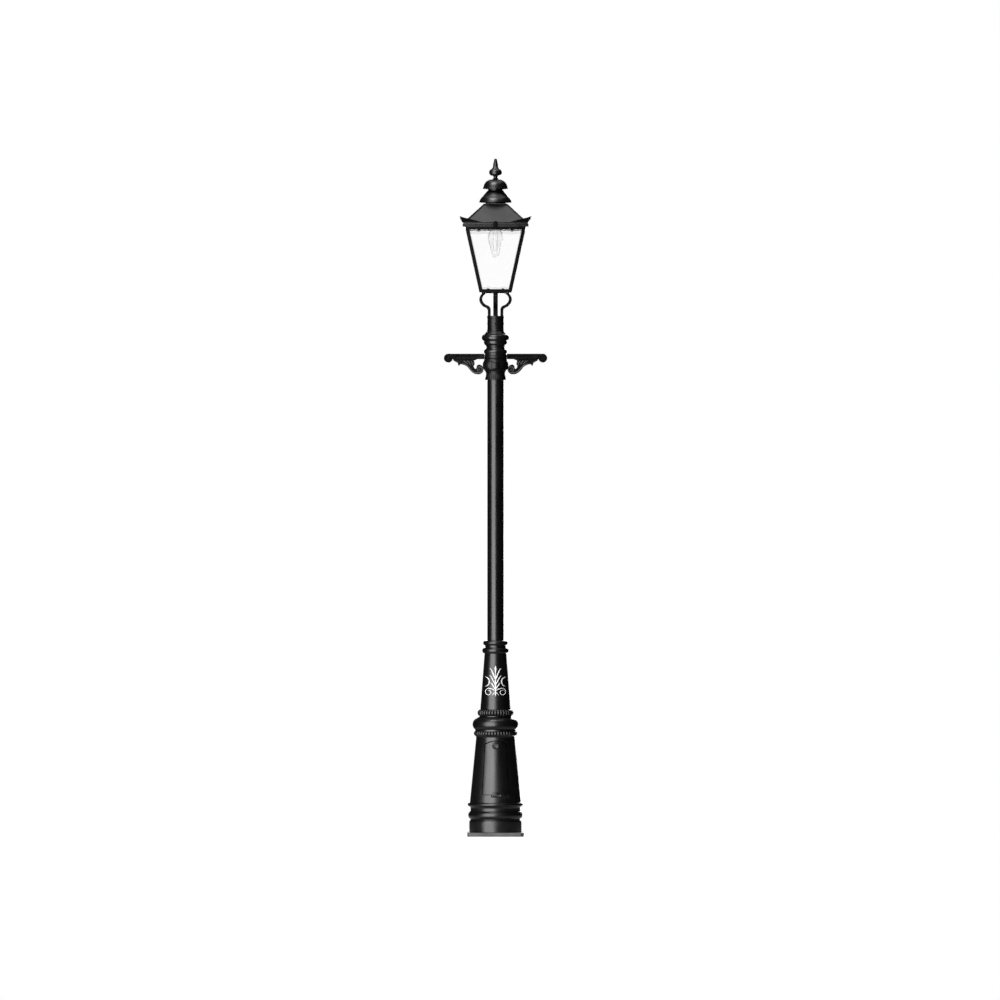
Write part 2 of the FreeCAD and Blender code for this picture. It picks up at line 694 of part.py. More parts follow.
def scroll_bracket(label, rotation):
    """Pierced scroll under a bar, kept clear of the bulb."""
    body = new_body(label)
    sketch = new_sketch(body, "XZ_Plane")
    top = "bar_top - bar_depth"
    loop(sketch, [
        ("100", top), ("230", top),
        ("226", "bar_top - 38"),
        crown("214", "bar_top - 45"),
        ("203", "bar_top - 51"),
        ("196", "bar_top - 70"),
        ("189", "bar_top - 56"),
        crown("156", "bar_top - 68"),
        ("129", "bar_top - 95"),
        crown("113", "bar_top - 107"),
        ("93", "bar_top - 112"),
        crown("64.5", "bar_top - 87"),
        ("88", "bar_top - 58"),
        ("101", "bar_top - 64"),
        ("106", "bar_top - 84"),
        crown("116", "bar_top - 75"),
        ("118", "bar_top - 66"),
        ("111", "bar_top - 58"),
        ("120", "bar_top - 46"),
        crown("114", "bar_top - 36"),
    ])
    pad(body, sketch, "bracket_thick", middle=True)
    doc.recompute()
    gap = [(f"{point[0]} + 0.4", *point[1:]) for point in BULB_OUTSIDE]
    turn(body, [("0", "capital_foot + 36"), *gap, ("0", "capital_joint - 24")], remove=True)
    body.Placement = Placement(Vector(), rotation)


def arm_studs():
    """Studs that hold the arms to the bulb."""
    studs = []
    for side, turned in enumerate((quarter(0), quarter(2))):
        start = turned.multVec(Vector(size("shaft_radius + 1"), 0, size("arm_stud_height")))
        studs.append(cylinder(f"arm_stud_{side}", "stud_radius", "arm_stud_length",
                              Placement(start, turned.multiply(ALONG_X))))
    grouped("arm_studs", studs)


# ---------------------------------------------------------------- cradle

def cradle():
    """Collar, four curved legs and the plate that the lantern stands on."""
    collar = turned_body("cradle_collar", [
        ("spigot_radius + fit", "capital_head"),
        ("collar_radius", "capital_head"),
        ("collar_radius", "collar_head"),
        ("collar_bore", "collar_head"),
        ("collar_bore", "spigot_head + 1"),
        ("spigot_radius + fit", "spigot_head + 1"),
    ])
    screw_holes(collar, "collar_screw_height", "collar_radius")
    for name, count in (("right", 0), ("back", 1), ("left", 2), ("front", 3)):
        cradle_leg(f"cradle_leg_{name}", quarter(count))
    turned_body("cradle_plate", rectangle("14", "cradle_top - cradle_plate_thick",
                                          "cradle_plate_radius", "cradle_top"))


def cradle_leg(label, rotation):
    """S-shaped strap that swells out and turns in again under the plate."""
    body = new_body(label)
    sketch = new_sketch(body, "XZ_Plane")
    foot = "collar_head"
    top = "cradle_top - cradle_plate_thick"
    loop(sketch, [
        ("26", foot), ("42", foot), ("42", f"{foot} + 27"),
        crown("44.5", f"{foot} + 36"),
        ("52", f"{foot} + 43"),
        crown("76.5", f"{foot} + 60"),
        ("88", f"{foot} + 86"),
        crown("85", f"{foot} + 103"),
        ("74", top), ("50", top),
        crown("65.5", f"{foot} + 108"),
        ("71.5", f"{foot} + 86"),
        crown("63", f"{foot} + 70"),
        ("44", f"{foot} + 57"),
        crown("31", f"{foot} + 48"),
        ("26", f"{foot} + 34"),
    ])
    pad(body, sketch, "leg_width", middle=True)
    doc.recompute()
    body.Placement = Placement(Vector(), rotation)


# ---------------------------------------------------------------- lantern frame

def taper(height):
    """Half width of the lantern's frame at a height, as an expression."""
    slope = "(lantern_head_half - lantern_foot_half) / (lantern_head - cradle_top)"
    return f"lantern_foot_half + ({height} - cradle_top) * {slope}"


def square_frustum(low_half, low, high_half, high):
    """Solid between two centred squares."""
    wires = []
    for half, level in ((size(low_half), size(low)), (size(high_half), size(high))):
        corners = [Vector(x * half, y * half, level) for x, y in ((-1, -1), (1, -1), (1, 1), (-1, 1))]
        wires.append(Part.makePolygon(corners + corners[:1]))
    return Part.makeLoft(wires, True, True)


def square_ring(low, high, width):
    """Tapered rail: the frame's outline at this level with a straight square hole."""
    outer = square_frustum(taper(low), low, taper(high), high)
    hole = size(f"{taper(low)} - ({width})")
    inner = Part.makeBox(2 * hole, 2 * hole, size(f"{high} - ({low})") + 2,
                         Vector(-hole, -hole, size(low) - 1))
    return outer.cut(inner)


def shape_node(label, shape, rotation=None):
    """A sub-part whose shape is worked out by Part's own functions."""
    feature = doc.addObject("Part::Feature", label)
    feature.Shape = shape
    feature.Placement = Placement(Vector(), rotation or Rotation())
    return node(feature, label)


def drilled(outer, bore, length, start):
    """Tube along X."""
    return (Part.makeCylinder(outer, length, start, Vector(1, 0, 0))
            .cut(Part.makeCylinder(bore, length, start, Vector(1, 0, 0))))


ROOF_KNUCKLES = [(-112, "frame"), (-87.5, "roof"), (64, "roof"), (88.5, "frame")]


def roof_knuckles(owner):
    """Hinge barrels at the rear eaves that belong to the frame or to the roof."""
    depth, level = size("roof_pin_depth"), size("roof_pin_height")
    outer, bore = size("roof_knuckle_radius"), size("pin_radius + pin_gap")
    length = size("roof_knuckle_length")
    parts = []
    for x, belongs in ROOF_KNUCKLES:
        if belongs != owner:
            continue
        barrel = drilled(outer, bore, length, Vector(x, depth, level))
        if owner == "frame":
            reach = depth - size("lantern_head_half") + 8
            leaf = Part.makeBox(length, reach, 3, Vector(x, depth - reach, level - outer))
        else:
            leaf = Part.makeBox(length, 3.5, 16, Vector(x, size("eaves_half"), level + 1.5))
        solid = barrel.fuse(leaf)
        parts.append(solid.cut(Part.makeCylinder(bore, length, Vector(x, depth, level), Vector(1, 0, 0))))
    return parts


def lantern_frame():
    """Bottom frame, four corner bars, top frame, floor and panes."""
    low, high = "cradle_top", "lantern_head"
    shape_node("bottom_frame", square_ring(low, f"{low} + rail_height", "rail_width - 8"))
    top = square_ring(f"{high} - top_rail_height", high, "rail_width - 4")
    shape_node("top_frame", top.multiFuse(roof_knuckles("frame")).removeSplitter())
    half, thick = size("lantern_foot_half - rail_width + 8 - pane_play"), size("floor_thick")
    floor = Part.makeBox(2 * half, 2 * half, thick, Vector(-half, -half, size(low)))
    hole = Part.makeCylinder(size("floor_hole"), thick + 2, Vector(0, 0, size(low) - 1))
    shape_node("lantern_floor", floor.cut(hole))
    foot, head = f"{low} + rail_height", f"{high} - top_rail_height"
    shell = square_frustum(taper(foot), foot, taper(head), head)
    inner = square_frustum(f"{taper(foot)} - bar_wall", foot, f"{taper(head)} - bar_wall", head)
    shell = shell.cut(inner)
    for count in range(4):
        shape_node(f"corner_bar_{count + 1}", corner_bar(shell, foot, head), quarter(count))
    for name, count in (("front", 0), ("right", 1), ("back", 2), ("left", 3)):
        shape_node(f"pane_{name}", pane(foot, head), quarter(count))


def corner_bar(shell, foot, head):
    """The part of the lantern's shell within a rail's width of one corner."""
    width = size("rail_width")
    wires = []
    for level in (foot, head):
        half, z = size(taper(level)), size(level)
        corner = [Vector(half - width, half - width, z), Vector(half + 5, half - width, z),
                  Vector(half + 5, half + 5, z), Vector(half - width, half + 5, z)]
        wires.append(Part.makePolygon(corner + corner[:1]))
    return shell.common(Part.makeLoft(wires, True, True))


def pane(foot, head):
    """Flat trapezoid of glass lying against the inside of the corner bars."""
    low, high = f"{foot} + pane_play", f"{head} - pane_play"
    inset, thick = size("pane_inset"), size("pane_thick")
    wires = []
    for level in (low, high):
        half, z = size(taper(level)), size(level)
        outer, inner = -(half - inset), -(half - inset - thick)
        reach = half - inset - thick - 1
        corners = [Vector(-reach, outer, z), Vector(reach, outer, z),
                   Vector(reach, inner, z), Vector(-reach, inner, z)]
        wires.append(Part.makePolygon(corners + corners[:1]))
    return Part.makeLoft(wires, True, True)


def glazing_clips():
    """Two small clips behind each pane's head and foot, held by the frame."""
    clips = []
    width, thick, height = size("clip_width"), size("clip_thick"), size("clip_height")
    levels = [("cradle_top + rail_height", "foot_clip_offset"),
              ("lantern_head - top_rail_height - clip_height", "head_clip_offset")]
    for level, offset in levels:
        reach = size(f"{taper(level)} - pane_inset - pane_thick - clip_gap")
        for count in range(4):
            for side in (-1, 1):
                place = Vector(side * size(offset) - width / 2, -reach, size(level))
                clip = Part.makeBox(width, thick, height, place)
                clip.rotate(Vector(), Vector(0, 0, 1), 90 * count)
                clips.append(clip)
    shape_node("glazing_clips", Part.makeCompound(clips))


def lamp_parts():
    """Bridge across the top frame with lampholder, gear and lamp."""
    head, rise = size("lantern_head"), size("bridge_rise")
    width, thick, drop = size("bridge_width"), size("bridge_thick"), size("top_rail_height")
    reach = size(f"{taper('lantern_head - top_rail_height')} - rail_width + 4 - bridge_end_gap")
    half = reach - size("bridge_tab")
    strap = Part.makeBox(2 * half, width, thick, Vector(-half, -width / 2, head + rise))
    feet = [Part.makeBox(thick, width, drop + rise, Vector(x, -width / 2, head - drop))
            for x in (-half, half - thick)]
    tabs = [Part.makeBox(reach - half, width, thick, Vector(x, -width / 2, head - drop))
            for x in (-reach, half)]
    shape_node("lamp_bridge", strap.multiFuse(feet + tabs).removeSplitter())
    under = Vector(0, 0, head + rise - size("holder_length"))
    holder = Part.makeCylinder(size("holder_radius"), size("holder_length"), under)
    socket = Part.makeCylinder(size("socket_radius"), size("socket_length"), under)
    shape_node("lampholder", holder.cut(socket))
    cap = Part.makeCylinder(size("cap_radius"), size("cap_length"), under + Vector(0, 0, 1))
    shape_node("lamp_cap", cap)
    length, across, up = size("gear_length"), size("gear_width"), size("gear_height")
    gear = Part.makeBox(length, across, up, Vector(-length / 2, -across / 2, head + rise + thick))
    upright = [edge for edge in gear.Edges if abs(edge.tangentAt(edge.FirstParameter).z) > 0.9]
    shape_node("control_gear", gear.makeFillet(size("gear_corner"), upright))
    body = new_body("lamp_glass")
    turn(body, [
        ("0", "lantern_head - lamp_length"),
        crown("15", "lantern_head - lamp_length + 8"),
        ("22", "lantern_head - lamp_length + 28"),
        ("33", "lantern_head - lamp_length + 72"),
        crown("40", "lantern_head - lamp_length + 114"),
        ("26", "lantern_head - 12"),
        ("14", "lantern_head + 1"),
        ("14", "lantern_head + 4.5"),
        ("0", "lantern_head + 4.5"),
    ])


# ---------------------------------------------------------------- roof

def roof_parts():
    """Eaves band, four-sided roof, corner ears, ventilator and finial."""
    half, foot, top = size("eaves_half"), size("eaves_foot"), size("eaves_top")
    thick = size("sheet_thick")
    band = square_frustum("eaves_half", "eaves_foot", "eaves_half", "eaves_top")
    hollow, lip, ledge = half - thick, half - 32, size("roof_foot_half - 5")
    room = top - foot - 2 * thick
    band = band.cut(Part.makeBox(2 * hollow, 2 * hollow, room, Vector(-hollow, -hollow, foot + thick)))
    band = band.cut(Part.makeBox(2 * lip, 2 * lip, 2 * thick, Vector(-lip, -lip, foot - thick)))
    band = band.cut(Part.makeBox(2 * ledge, 2 * ledge, 3 * thick, Vector(-ledge, -ledge, top - 2 * thick)))
    shape_node("roof_fascia", band.multiFuse(roof_knuckles("roof")).removeSplitter())
    outer = square_frustum("roof_foot_half", "eaves_top", "roof_top_half", "roof_top")
    inner = square_frustum("roof_foot_half - 5", "eaves_top", "roof_top_half - 5", "roof_top")
    hole = Part.makeCylinder(size("pipe_radius") - 2, 30, Vector(0, 0, size("roof_top") - 10))
    cap_half = size("roof_top_half")
    cap = Part.makeBox(2 * cap_half, 2 * cap_half, 3, Vector(-cap_half, -cap_half, size("roof_top")))
    shape_node("roof_shell", outer.cut(inner).fuse(cap).cut(hole).removeSplitter())
    ears = [ear(outer, count) for count in range(4)]
    shape_node("corner_ears", Part.makeCompound(ears))
    ventilator()


def ear(roof, count):
    """Two leaf wings that meet at one corner of the eaves and sweep out to a tip."""
    half, top = size("eaves_half"), size("eaves_top")
    tip, reach, thick = size("ear_tip"), size("ear_half"), size("ear_thick")
    inner = reach - size("ear_wing")
    profile = [Vector(inner, 0, top), Vector(half - 1, 0, top), Vector(half + 5, 0, top + 16),
               Vector(reach, 0, tip), Vector(half - 6, 0, top + 24), Vector(half - 25, 0, top + 20),
               Vector(half - 60, 0, top + 11)]
    face = Part.Face(Part.makePolygon(profile + profile[:1]))
    wing = face.extrude(Vector(0, thick, 0))
    wing.translate(Vector(0, -half, 0))
    slope = (reach - half) / (tip - top)
    lean = FreeCAD.Matrix()
    lean.A23 = -slope
    lean.A24 = slope * top
    wing = wing.transformGeometry(lean)
    mitre = Part.Face(Part.makePolygon([Vector(0, 0, top - 1), Vector(400, -400, top - 1),
                                        Vector(0, -400, top - 1), Vector(0, 0, top - 1)]))
    wing = wing.common(mitre.extrude(Vector(0, 0, 60)))
    other = wing.mirror(Vector(), Vector(1, 1, 0))
    whole = wing.fuse(other).cut(roof).removeSplitter()
    whole.rotate(Vector(), Vector(0, 0, 1), 90 * count)
    return whole


def ventilator():
    """Neck, two cowls, the tie rod and the turned finial."""
    low = "roof_top + sheet_thick"
    turned_body("chimney_neck", [
        ("pipe_radius - 3", low), ("neck_radius", low), ("neck_radius", f"{low} + 3"),
        ("pipe_radius", f"{low} + 22"), ("pipe_radius", "dome_foot + 12"),
        ("pipe_radius - 3", "dome_foot + 12"),
    ])
    turned_body("lower_cowl", [
        ("pipe_radius + 0.1", "step_height + 33"),
        ("42", "step_height + 33"),
        crown("55", "step_height + 18"),
        ("68.6", "step_height + 2"),
        ("70.5", "step_height - 1"),
        crown("84", "step_height - 18"),
        ("skirt_radius", "skirt_foot"),
        ("skirt_radius - 3", "skirt_foot"),
        crown("80.5", "step_height - 20"),
        ("67", "step_height - 4"),
        ("pipe_radius + 0.1", "step_height + 26"),
    ])
    turned_body("upper_cowl", [
        ("6.2", "dome_foot + 44"),
        ("6.2", "dome_top"),
        ("14", "dome_top"),
        ("20", "dome_top - 4"),
        crown("51", "dome_top - 17"),
        ("65", "dome_foot + 14"),
        ("dome_radius", "dome_foot"),
        ("dome_radius - 3", "dome_foot"),
        ("61", "dome_foot + 13"),
        ("pipe_radius + 1", "dome_foot + 13"),
        ("pipe_radius + 1", "dome_foot + 30"),
    ])
    turned_body("finial", [
        ("6.2", "finial_foot"), ("14", "finial_foot"),
        ("10.8", "finial_foot + 4"), ("10.8", "finial_foot + 9"),
        ("16", "finial_foot + 14"),
        crown("34.8", "finial_foot + 36"),
        ("22", "finial_foot + 51"),
        ("14.5", "finial_foot + 61"),
        ("13.5", "finial_foot + 73"),
        ("8.2", "finial_tip - 9"),
        ("6.8", "finial_tip - 3"),
        ("3.6", "finial_tip - 0.5"),
        ("0", "finial_tip"),
        ("0", "finial_foot + 41"),
        ("6.2", "finial_foot + 41"),
    ])
    rod = cylinder("rod", "roof_rod_radius", "roof_rod_length",
                   at(0, 0, size("finial_foot + 40 - roof_rod_length")))
    strap = block("rod_strap", "2 * pipe_radius - 9", "16", "4",
                  at(4.5 - size("pipe_radius"), -8, size("dome_foot + 4")))
    fused("finial_rod", [rod, strap])


def roof_catch_parts():
    """Turn button on the front of the eaves and the keeper on the frame."""
    body = new_body("roof_catch")
    sketch = new_sketch(body, "XZ_Plane", "button_face")
    half = "button_width / 2"
    loop(sketch, [(f"-{half} + 4", "button_foot"), (f"{half} - 4", "button_foot"),
                  (half, "button_height - 4"), (half, "button_height + 4"),
                  crown("0", "button_top + 4"), (f"-{half}", "button_height + 4"),
                  (f"-{half}", "button_height - 4")])
    pad(body, sketch, "button_thick")
    doc.recompute()
    head = new_sketch(body, "XZ_Plane", "button_face + button_thick")
    ring_of(head, "0", "button_height", "button_knob_radius")
    pad(body, head, "button_knob_thick")
    width, thick, height = size("keeper_width"), size("keeper_thick"), size("keeper_height")
    face = -size("button_face") + 0.4
    corner = Vector(-width / 2, face, size("button_foot"))
    keeper = Part.makeBox(width, thick, height, corner)
    depth = -size(taper("button_foot + keeper_thick")) - face
    arm = Part.makeBox(width, depth, thick, corner)
    shape_node("catch_keeper", keeper.fuse(arm).removeSplitter())


def roof_pin():
    body = new_body("roof_hinge_pin")
    sketch = new_sketch(body, "YZ_Plane", "-roof_pin_end")
    ring_of(sketch, "roof_pin_depth", "roof_pin_height", "pin_radius")
    pad(body, sketch, "2 * roof_pin_end + 0.5")


# ---------------------------------------------------------------- ornament

def leaf(base, tip, bulge, fat):
    """Leaf seen from the front: two arcs from base to tip, bulging to one side."""
    start, end = Vector(base[0], 0, base[1]), Vector(tip[0], 0, tip[1])
    middle = (start + end) / 2
    across = Vector(end.z - start.z, 0, start.x - end.x).normalize()
    edges = [Part.Arc(start, middle + across * side, end).toShape()
             for side in (bulge + fat, bulge - fat)]
    return Part.Face(Part.Wire(edges))


def leaf_ornament():
    """Raised leaves and scrolls that lie on the front of the tapered neck."""
    leaves = [leaf((0, 845), (0, 921), 0, 6), leaf((0, 756), (0, 850), 0, 5)]
    for side in (-1, 1):
        leaves += [
            leaf((0, 838), (side * 25, 903), side * 5, 5.5),
            leaf((0, 800), (side * 28, 863), side * 5, 5.5),
            leaf((0, 775), (side * 27, 828), side * 5, 5.5),
            leaf((side * 6, 772), (side * 50, 856), side * 9, 5.5),
            leaf((side * 22, 818), (side * 52, 808), side * 5, 4.5),
        ]
    depth = Vector(0, -120, 0)
    raised = [face.extrude(depth) for face in leaves]
    for side in (-1, 1):
        scroll = Part.makeCylinder(21, 120, Vector(side * 37, 0, 778), Vector(0, -1, 0))
        raised.append(scroll.cut(Part.makeCylinder(12, 120, Vector(side * 37, 0, 778), Vector(0, -1, 0))))
        raised.append(Part.makeCylinder(6, 120, Vector(side * 33, 0, 776), Vector(0, -1, 0)))
        raised.append(leaf((side * 34, 776), (side * 20, 768), side * 1, 3).extrude(depth))
    low, high = size("neck_foot"), size("neck_head")
    near, far = size("neck_foot_radius"), size("neck_head_radius")
    skin = Part.makeCone(near + 5, far + 5, high - low, Vector(0, 0, low))
    core = Part.makeCone(near + 0.2, far + 0.2, high - low, Vector(0, 0, low))
    relief = raised[0].multiFuse(raised[1:]).common(skin.cut(core))
    shape_node("leaf_ornament", relief)


# ---------------------------------------------------------------- assembly and export

def check_and_export():
    doc.recompute()
    for thing in doc.Objects:
        if "Invalid" in thing.State or "Error" in thing.State:
            raise RuntimeError(f"{thing.Label} failed: {thing.State}")
    os.makedirs("parts", exist_ok=True)
    for thing in NODES:
        shape = thing.Shape
        if shape.isNull() or not shape.isValid() or not shape.Solids:
            raise RuntimeError(f"{thing.Label} has no valid solid")
        shape.exportStep(f"parts/{thing.Label}.step")
    print(len(NODES), "sub-parts")


base_plate()
base_casting()
upper_casting()
flange_bolts()
shaft_parts()
door_panel()
lock_parts()
door_pin()
compartment_parts()
capital_boss()
capital_crown()
for side_name, side_turn in (("right", Rotation()), ("left", HALF_TURN)):
    ladder_bar(f"ladder_bar_{side_name}", side_turn)
    scroll_bracket(f"scroll_bracket_{side_name}", side_turn)
arm_studs()
cradle()
set_screws()
lantern_frame()
glazing_clips()
lamp_parts()
roof_parts()
roof_catch_parts()
roof_pin()
leaf_ornament()
check_and_export()
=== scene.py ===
"""Looks of a cast-iron street lamp post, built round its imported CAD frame.

Metres, +Z up, front towards -Y. Outlines are written in millimetres and scaled by MM.
"""

import math

import bmesh
import bpy
from mathutils import Matrix, Vector


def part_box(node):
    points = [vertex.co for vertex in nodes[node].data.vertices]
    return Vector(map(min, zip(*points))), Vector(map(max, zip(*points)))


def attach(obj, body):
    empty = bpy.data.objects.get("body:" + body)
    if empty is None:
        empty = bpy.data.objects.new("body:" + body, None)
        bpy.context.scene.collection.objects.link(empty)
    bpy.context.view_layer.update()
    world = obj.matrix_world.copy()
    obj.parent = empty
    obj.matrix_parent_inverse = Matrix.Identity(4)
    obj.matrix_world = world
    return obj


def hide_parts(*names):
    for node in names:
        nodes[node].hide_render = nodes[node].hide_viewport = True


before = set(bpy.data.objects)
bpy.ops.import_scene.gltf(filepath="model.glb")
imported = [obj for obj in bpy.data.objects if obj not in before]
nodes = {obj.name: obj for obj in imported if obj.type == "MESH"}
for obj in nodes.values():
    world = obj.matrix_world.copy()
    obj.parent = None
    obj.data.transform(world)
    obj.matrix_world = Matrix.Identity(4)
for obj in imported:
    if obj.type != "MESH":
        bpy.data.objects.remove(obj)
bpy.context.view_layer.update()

MM = 0.001
WELD_REACH = 1e-6


# ---------------------------------------------------------------- levels read from the frame

def low(node):
    """Lower corner of a node's box."""
    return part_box(node)[0]


def high(node):
    """Upper corner of a node's box."""
    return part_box(node)[1]


PLATE_TOP = high("base_plate").z / MM
JOINT = high("base_casting").z / MM
SOCKET_TOP = high("upper_casting").z / MM
CAPITAL_FOOT = low("capital_boss").z / MM
CAPITAL_JOINT = high("capital_boss").z / MM
CAPITAL_HEAD = high("capital_crown").z / MM
COLLAR_HEAD = high("cradle_collar").z / MM
LANTERN_HEAD = high("corner_bar_1").z / MM + 12
EAVES_FOOT = LANTERN_HEAD + 1
EAVES_TOP = high("roof_fascia").z / MM
ROOF_TOP = high("roof_shell").z / MM
SHAFT_RADIUS = high("shaft_tube").x / MM
EAVES_HALF = high("roof_fascia").x / MM
ROOF_FOOT_HALF = high("roof_shell").x / MM

# sizes in millimetres that the frame's boxes don't give
ROOF_HEAD_HALF = 58
SPIGOT_BORE = 38.15
SHAFT_BORE = 44.6
FLOOR_RADIUS = 2000
PEDESTAL_FOOT, PEDESTAL_HEAD = (138, 186), (104.5, 533)
NECK_FOOT, NECK_HEAD = (81.8, 690), (59.4, 984)
DOOR_FOOT, DOOR_SHOULDER, DOOR_CROWN = 225, 495, 513
DOOR_FOOT_HALF, DOOR_HEAD_HALF, DOOR_THICK = 72, 57, 9
HINGE_DEPTH, HINGE_LEVEL, HINGE_RADIUS = -142, 219, 6.5
LOCK_LEVEL = 489
BAR_TOP, BAR_FOOT, BAR_ROOT, BAR_END = 2604, 2574, 61.5, 255
ROOF_HINGE_DEPTH, ROOF_HINGE_LEVEL, ROOF_HINGE_RADIUS = 184.5, 3283, 6


# ---------------------------------------------------------------- mesh helpers

def mesh_of(name, part):
    """A mesh from a part, which is a list of vertices in millimetres and a list of faces."""
    verts, faces = part
    mesh = bpy.data.meshes.new(name)
    mesh.from_pydata([Vector(v) * MM for v in verts], [], faces)
    return mesh


def cleaned(mesh, work):
    """Run a job on a mesh's editable copy and write it back."""
    editable = bmesh.new()
    editable.from_mesh(mesh)
    work(editable)
    editable.to_mesh(mesh)
    editable.free()


def close_and_orient(editable):
    """Join coincident vertices and point the faces outwards."""
    bmesh.ops.remove_doubles(editable, verts=editable.verts, dist=WELD_REACH)
    bmesh.ops.recalc_face_normals(editable, faces=editable.faces)


def mesh_piece(name, part, material, body, replaced=(), smooth=True):
    """A mesh object that rides on a body and may stand for CAD nodes."""
    mesh = mesh_of(name, part)
    mesh.validate()
    cleaned(mesh, close_and_orient)
    if smooth:
        mesh.shade_smooth()
        mesh.set_sharp_from_angle(angle=math.radians(50))
    mesh.materials.append(material)
    piece = bpy.data.objects.new(name, mesh)
    bpy.context.scene.collection.objects.link(piece)
    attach(piece, body)
    if replaced:
        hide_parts(*replaced)
    return piece


def weighted(piece):
    """Normals that follow the large faces, so narrow roundings shade cleanly."""
    modifier = piece.modifiers.new("weighted", "WEIGHTED_NORMAL")
    modifier.keep_sharp = True
    return piece


def bevelled(piece, width):
    """Rounded edges where faces meet at more than 35 degrees."""
    modifier = piece.modifiers.new("edges", "BEVEL")
    modifier.width = width * MM
    modifier.segments = 2
    modifier.limit_method = "ANGLE"
    modifier.angle_limit = math.radians(35)
    modifier.harden_normals = True
    return piece


def lifted(outline, level):
    """An outline or path whose heights are given from a level."""
    return [(point[0], level + point[1], *point[2:]) for point in outline]


def circle_through(a, b, c):
    """Centre of the circle through three points of a plane."""
    ax, ay, bx, by, cx, cy = *a, *b, *c
    d = 2 * (ax * (by - cy) + bx * (cy - ay) + cx * (ay - by))
    sa, sb, sc = ax * ax + ay * ay, bx * bx + by * by, cx * cx + cy * cy
    return ((sa * (by - cy) + sb * (cy - ay) + sc * (ay - by)) / d,
            (sa * (cx - bx) + sb * (ax - cx) + sc * (bx - ax)) / d)


def arc_points(a, b, c, count):
    """Points after a up to c on the arc from a through b."""
    ox, oy = circle_through(a, b, c)
    radius = math.hypot(a[0] - ox, a[1] - oy)
    first, middle, last = (math.atan2(p[1] - oy, p[0] - ox) for p in (a, b, c))
    turn = (last - first) % math.tau
    if (middle - first) % math.tau > turn:
        turn -= math.tau
    return [(ox + radius * math.cos(first + turn * i / count),
             oy + radius * math.sin(first + turn * i / count)) for i in range(1, count + 1)]


def trace(points, arc_steps=12, closed=False):
    """Flatten an outline in which a third item marks the crown of an arc between its neighbours."""
    line = [tuple(points[0][:2])]
    index = 1
    total = len(points)
    while index < total:
        point = points[index]
        if len(point) == 3:
            following = points[(index + 1) % total][:2]
            line += arc_points(line[-1], point[:2], following, arc_steps)
            index += 2
        else:
            line.append(tuple(point))
            index += 1
    if closed and math.dist(line[0], line[-1]) < 1e-6:
        line.pop()
    return line


def rounded(line, radius, closed=False):
    """Round the corners of a flattened outline that turn by 18 degrees or more."""
    count, steps, sharp = len(line), 3, 18
    result = []
    for index, point in enumerate(line):
        if not closed and index in (0, count - 1):
            result.append(point)
            continue
        before, after = Vector(line[index - 1]), Vector(line[(index + 1) % count])
        here = Vector(point)
        back, ahead = before - here, after - here
        if back.length < 1e-6 or ahead.length < 1e-6:
            continue
        bend = math.pi - back.angle(ahead)
        if math.degrees(bend) < sharp:
            result.append(point)
            continue
        reach = min(radius * math.tan(bend / 2), back.length * 0.45, ahead.length * 0.45)
        start, end = here + back.normalized() * reach, here + ahead.normalized() * reach
        for step in range(steps + 1):
            t = step / steps
            spot = start * (1 - t) ** 2 + here * 2 * t * (1 - t) + end * t ** 2
            result.append(tuple(spot))
    return result


def ring_faces(steps, size, closed=True):
    """Faces that join outlines of equal size, set one after another round an axis."""
    faces = []
    for step in range(steps):
        here, there = step * size, (step + 1) % steps * size
        for index in range(size if closed else size - 1):
            after = (index + 1) % size
            faces.append((here + index, there + index, there + after, here + after))
    return faces


def disc_faces(first, rings, around):
    """Faces of a disc whose centre is the first vertex and whose rings follow it outwards."""
    faces = [(first, first + 1 + step, first + 1 + (step + 1) % around) for step in range(around)]
    for ring in range(rings - 1):
        inner = first + 1 + ring * around
        outer = inner + around
        for step in range(around):
            after = (step + 1) % around
            faces.append((inner + step, outer + step, outer + after, inner + after))
    return faces


def lathe(name, points, material, body, replaced=(), segments=144, edge=1.2,
          arc_steps=14, wave=None, closed=True):
    """Turn an outline of (radius, height) about the post's axis."""
    line = rounded(trace(points, arc_steps, closed), edge, closed=closed)
    verts = []
    for step in range(segments):
        angle = math.tau * step / segments
        for radius, height in line:
            if wave:
                radius = wave(angle, radius, height)
            verts.append((radius * math.sin(angle), -radius * math.cos(angle), height))
    part = verts, ring_faces(segments, len(line), closed)
    return weighted(mesh_piece(name, part, material, body, replaced))


def loft(rings):
    """A closed part over rings of equal size."""
    size = len(rings[0])
    verts = [vertex for ring in rings for vertex in ring]
    faces = []
    for step in range(len(rings) - 1):
        for index in range(size):
            after = (index + 1) % size
            faces.append((step * size + index, step * size + after,
                          (step + 1) * size + after, (step + 1) * size + index))
    faces.append(tuple(reversed(range(size))))
    faces.append(tuple(range((len(rings) - 1) * size, len(rings) * size)))
    return verts, faces


def merged(parts):
    """One vertex and face list from several."""
    verts, faces = [], []
    for more_verts, more_faces in parts:
        shift = len(verts)
        verts += more_verts
        faces += [tuple(index + shift for index in face) for face in more_faces]
    return verts, faces


def moved(part, matrix):
    """A part turned by a matrix."""
    verts, faces = part
    return [tuple(matrix @ Vector(v)) for v in verts], faces


def smooth_path(points, steps=8):
    """Catmull-Rom points through given ones; each may carry more than two values."""
    spots = [points[0], *points, points[-1]]
    path = []
    for index in range(1, len(spots) - 2):
        a, b, c, d = spots[index - 1:index + 3]
        for step in range(steps):
            t = step / steps
            path.append(tuple(0.5 * (2 * q + (r - p) * t + (2 * p - 5 * q + 4 * r - s) * t * t
                                     + (3 * q - p - 3 * r + s) * t ** 3)
                              for p, q, r, s in zip(a, b, c, d)))
    path.append(tuple(points[-1]))
    return path


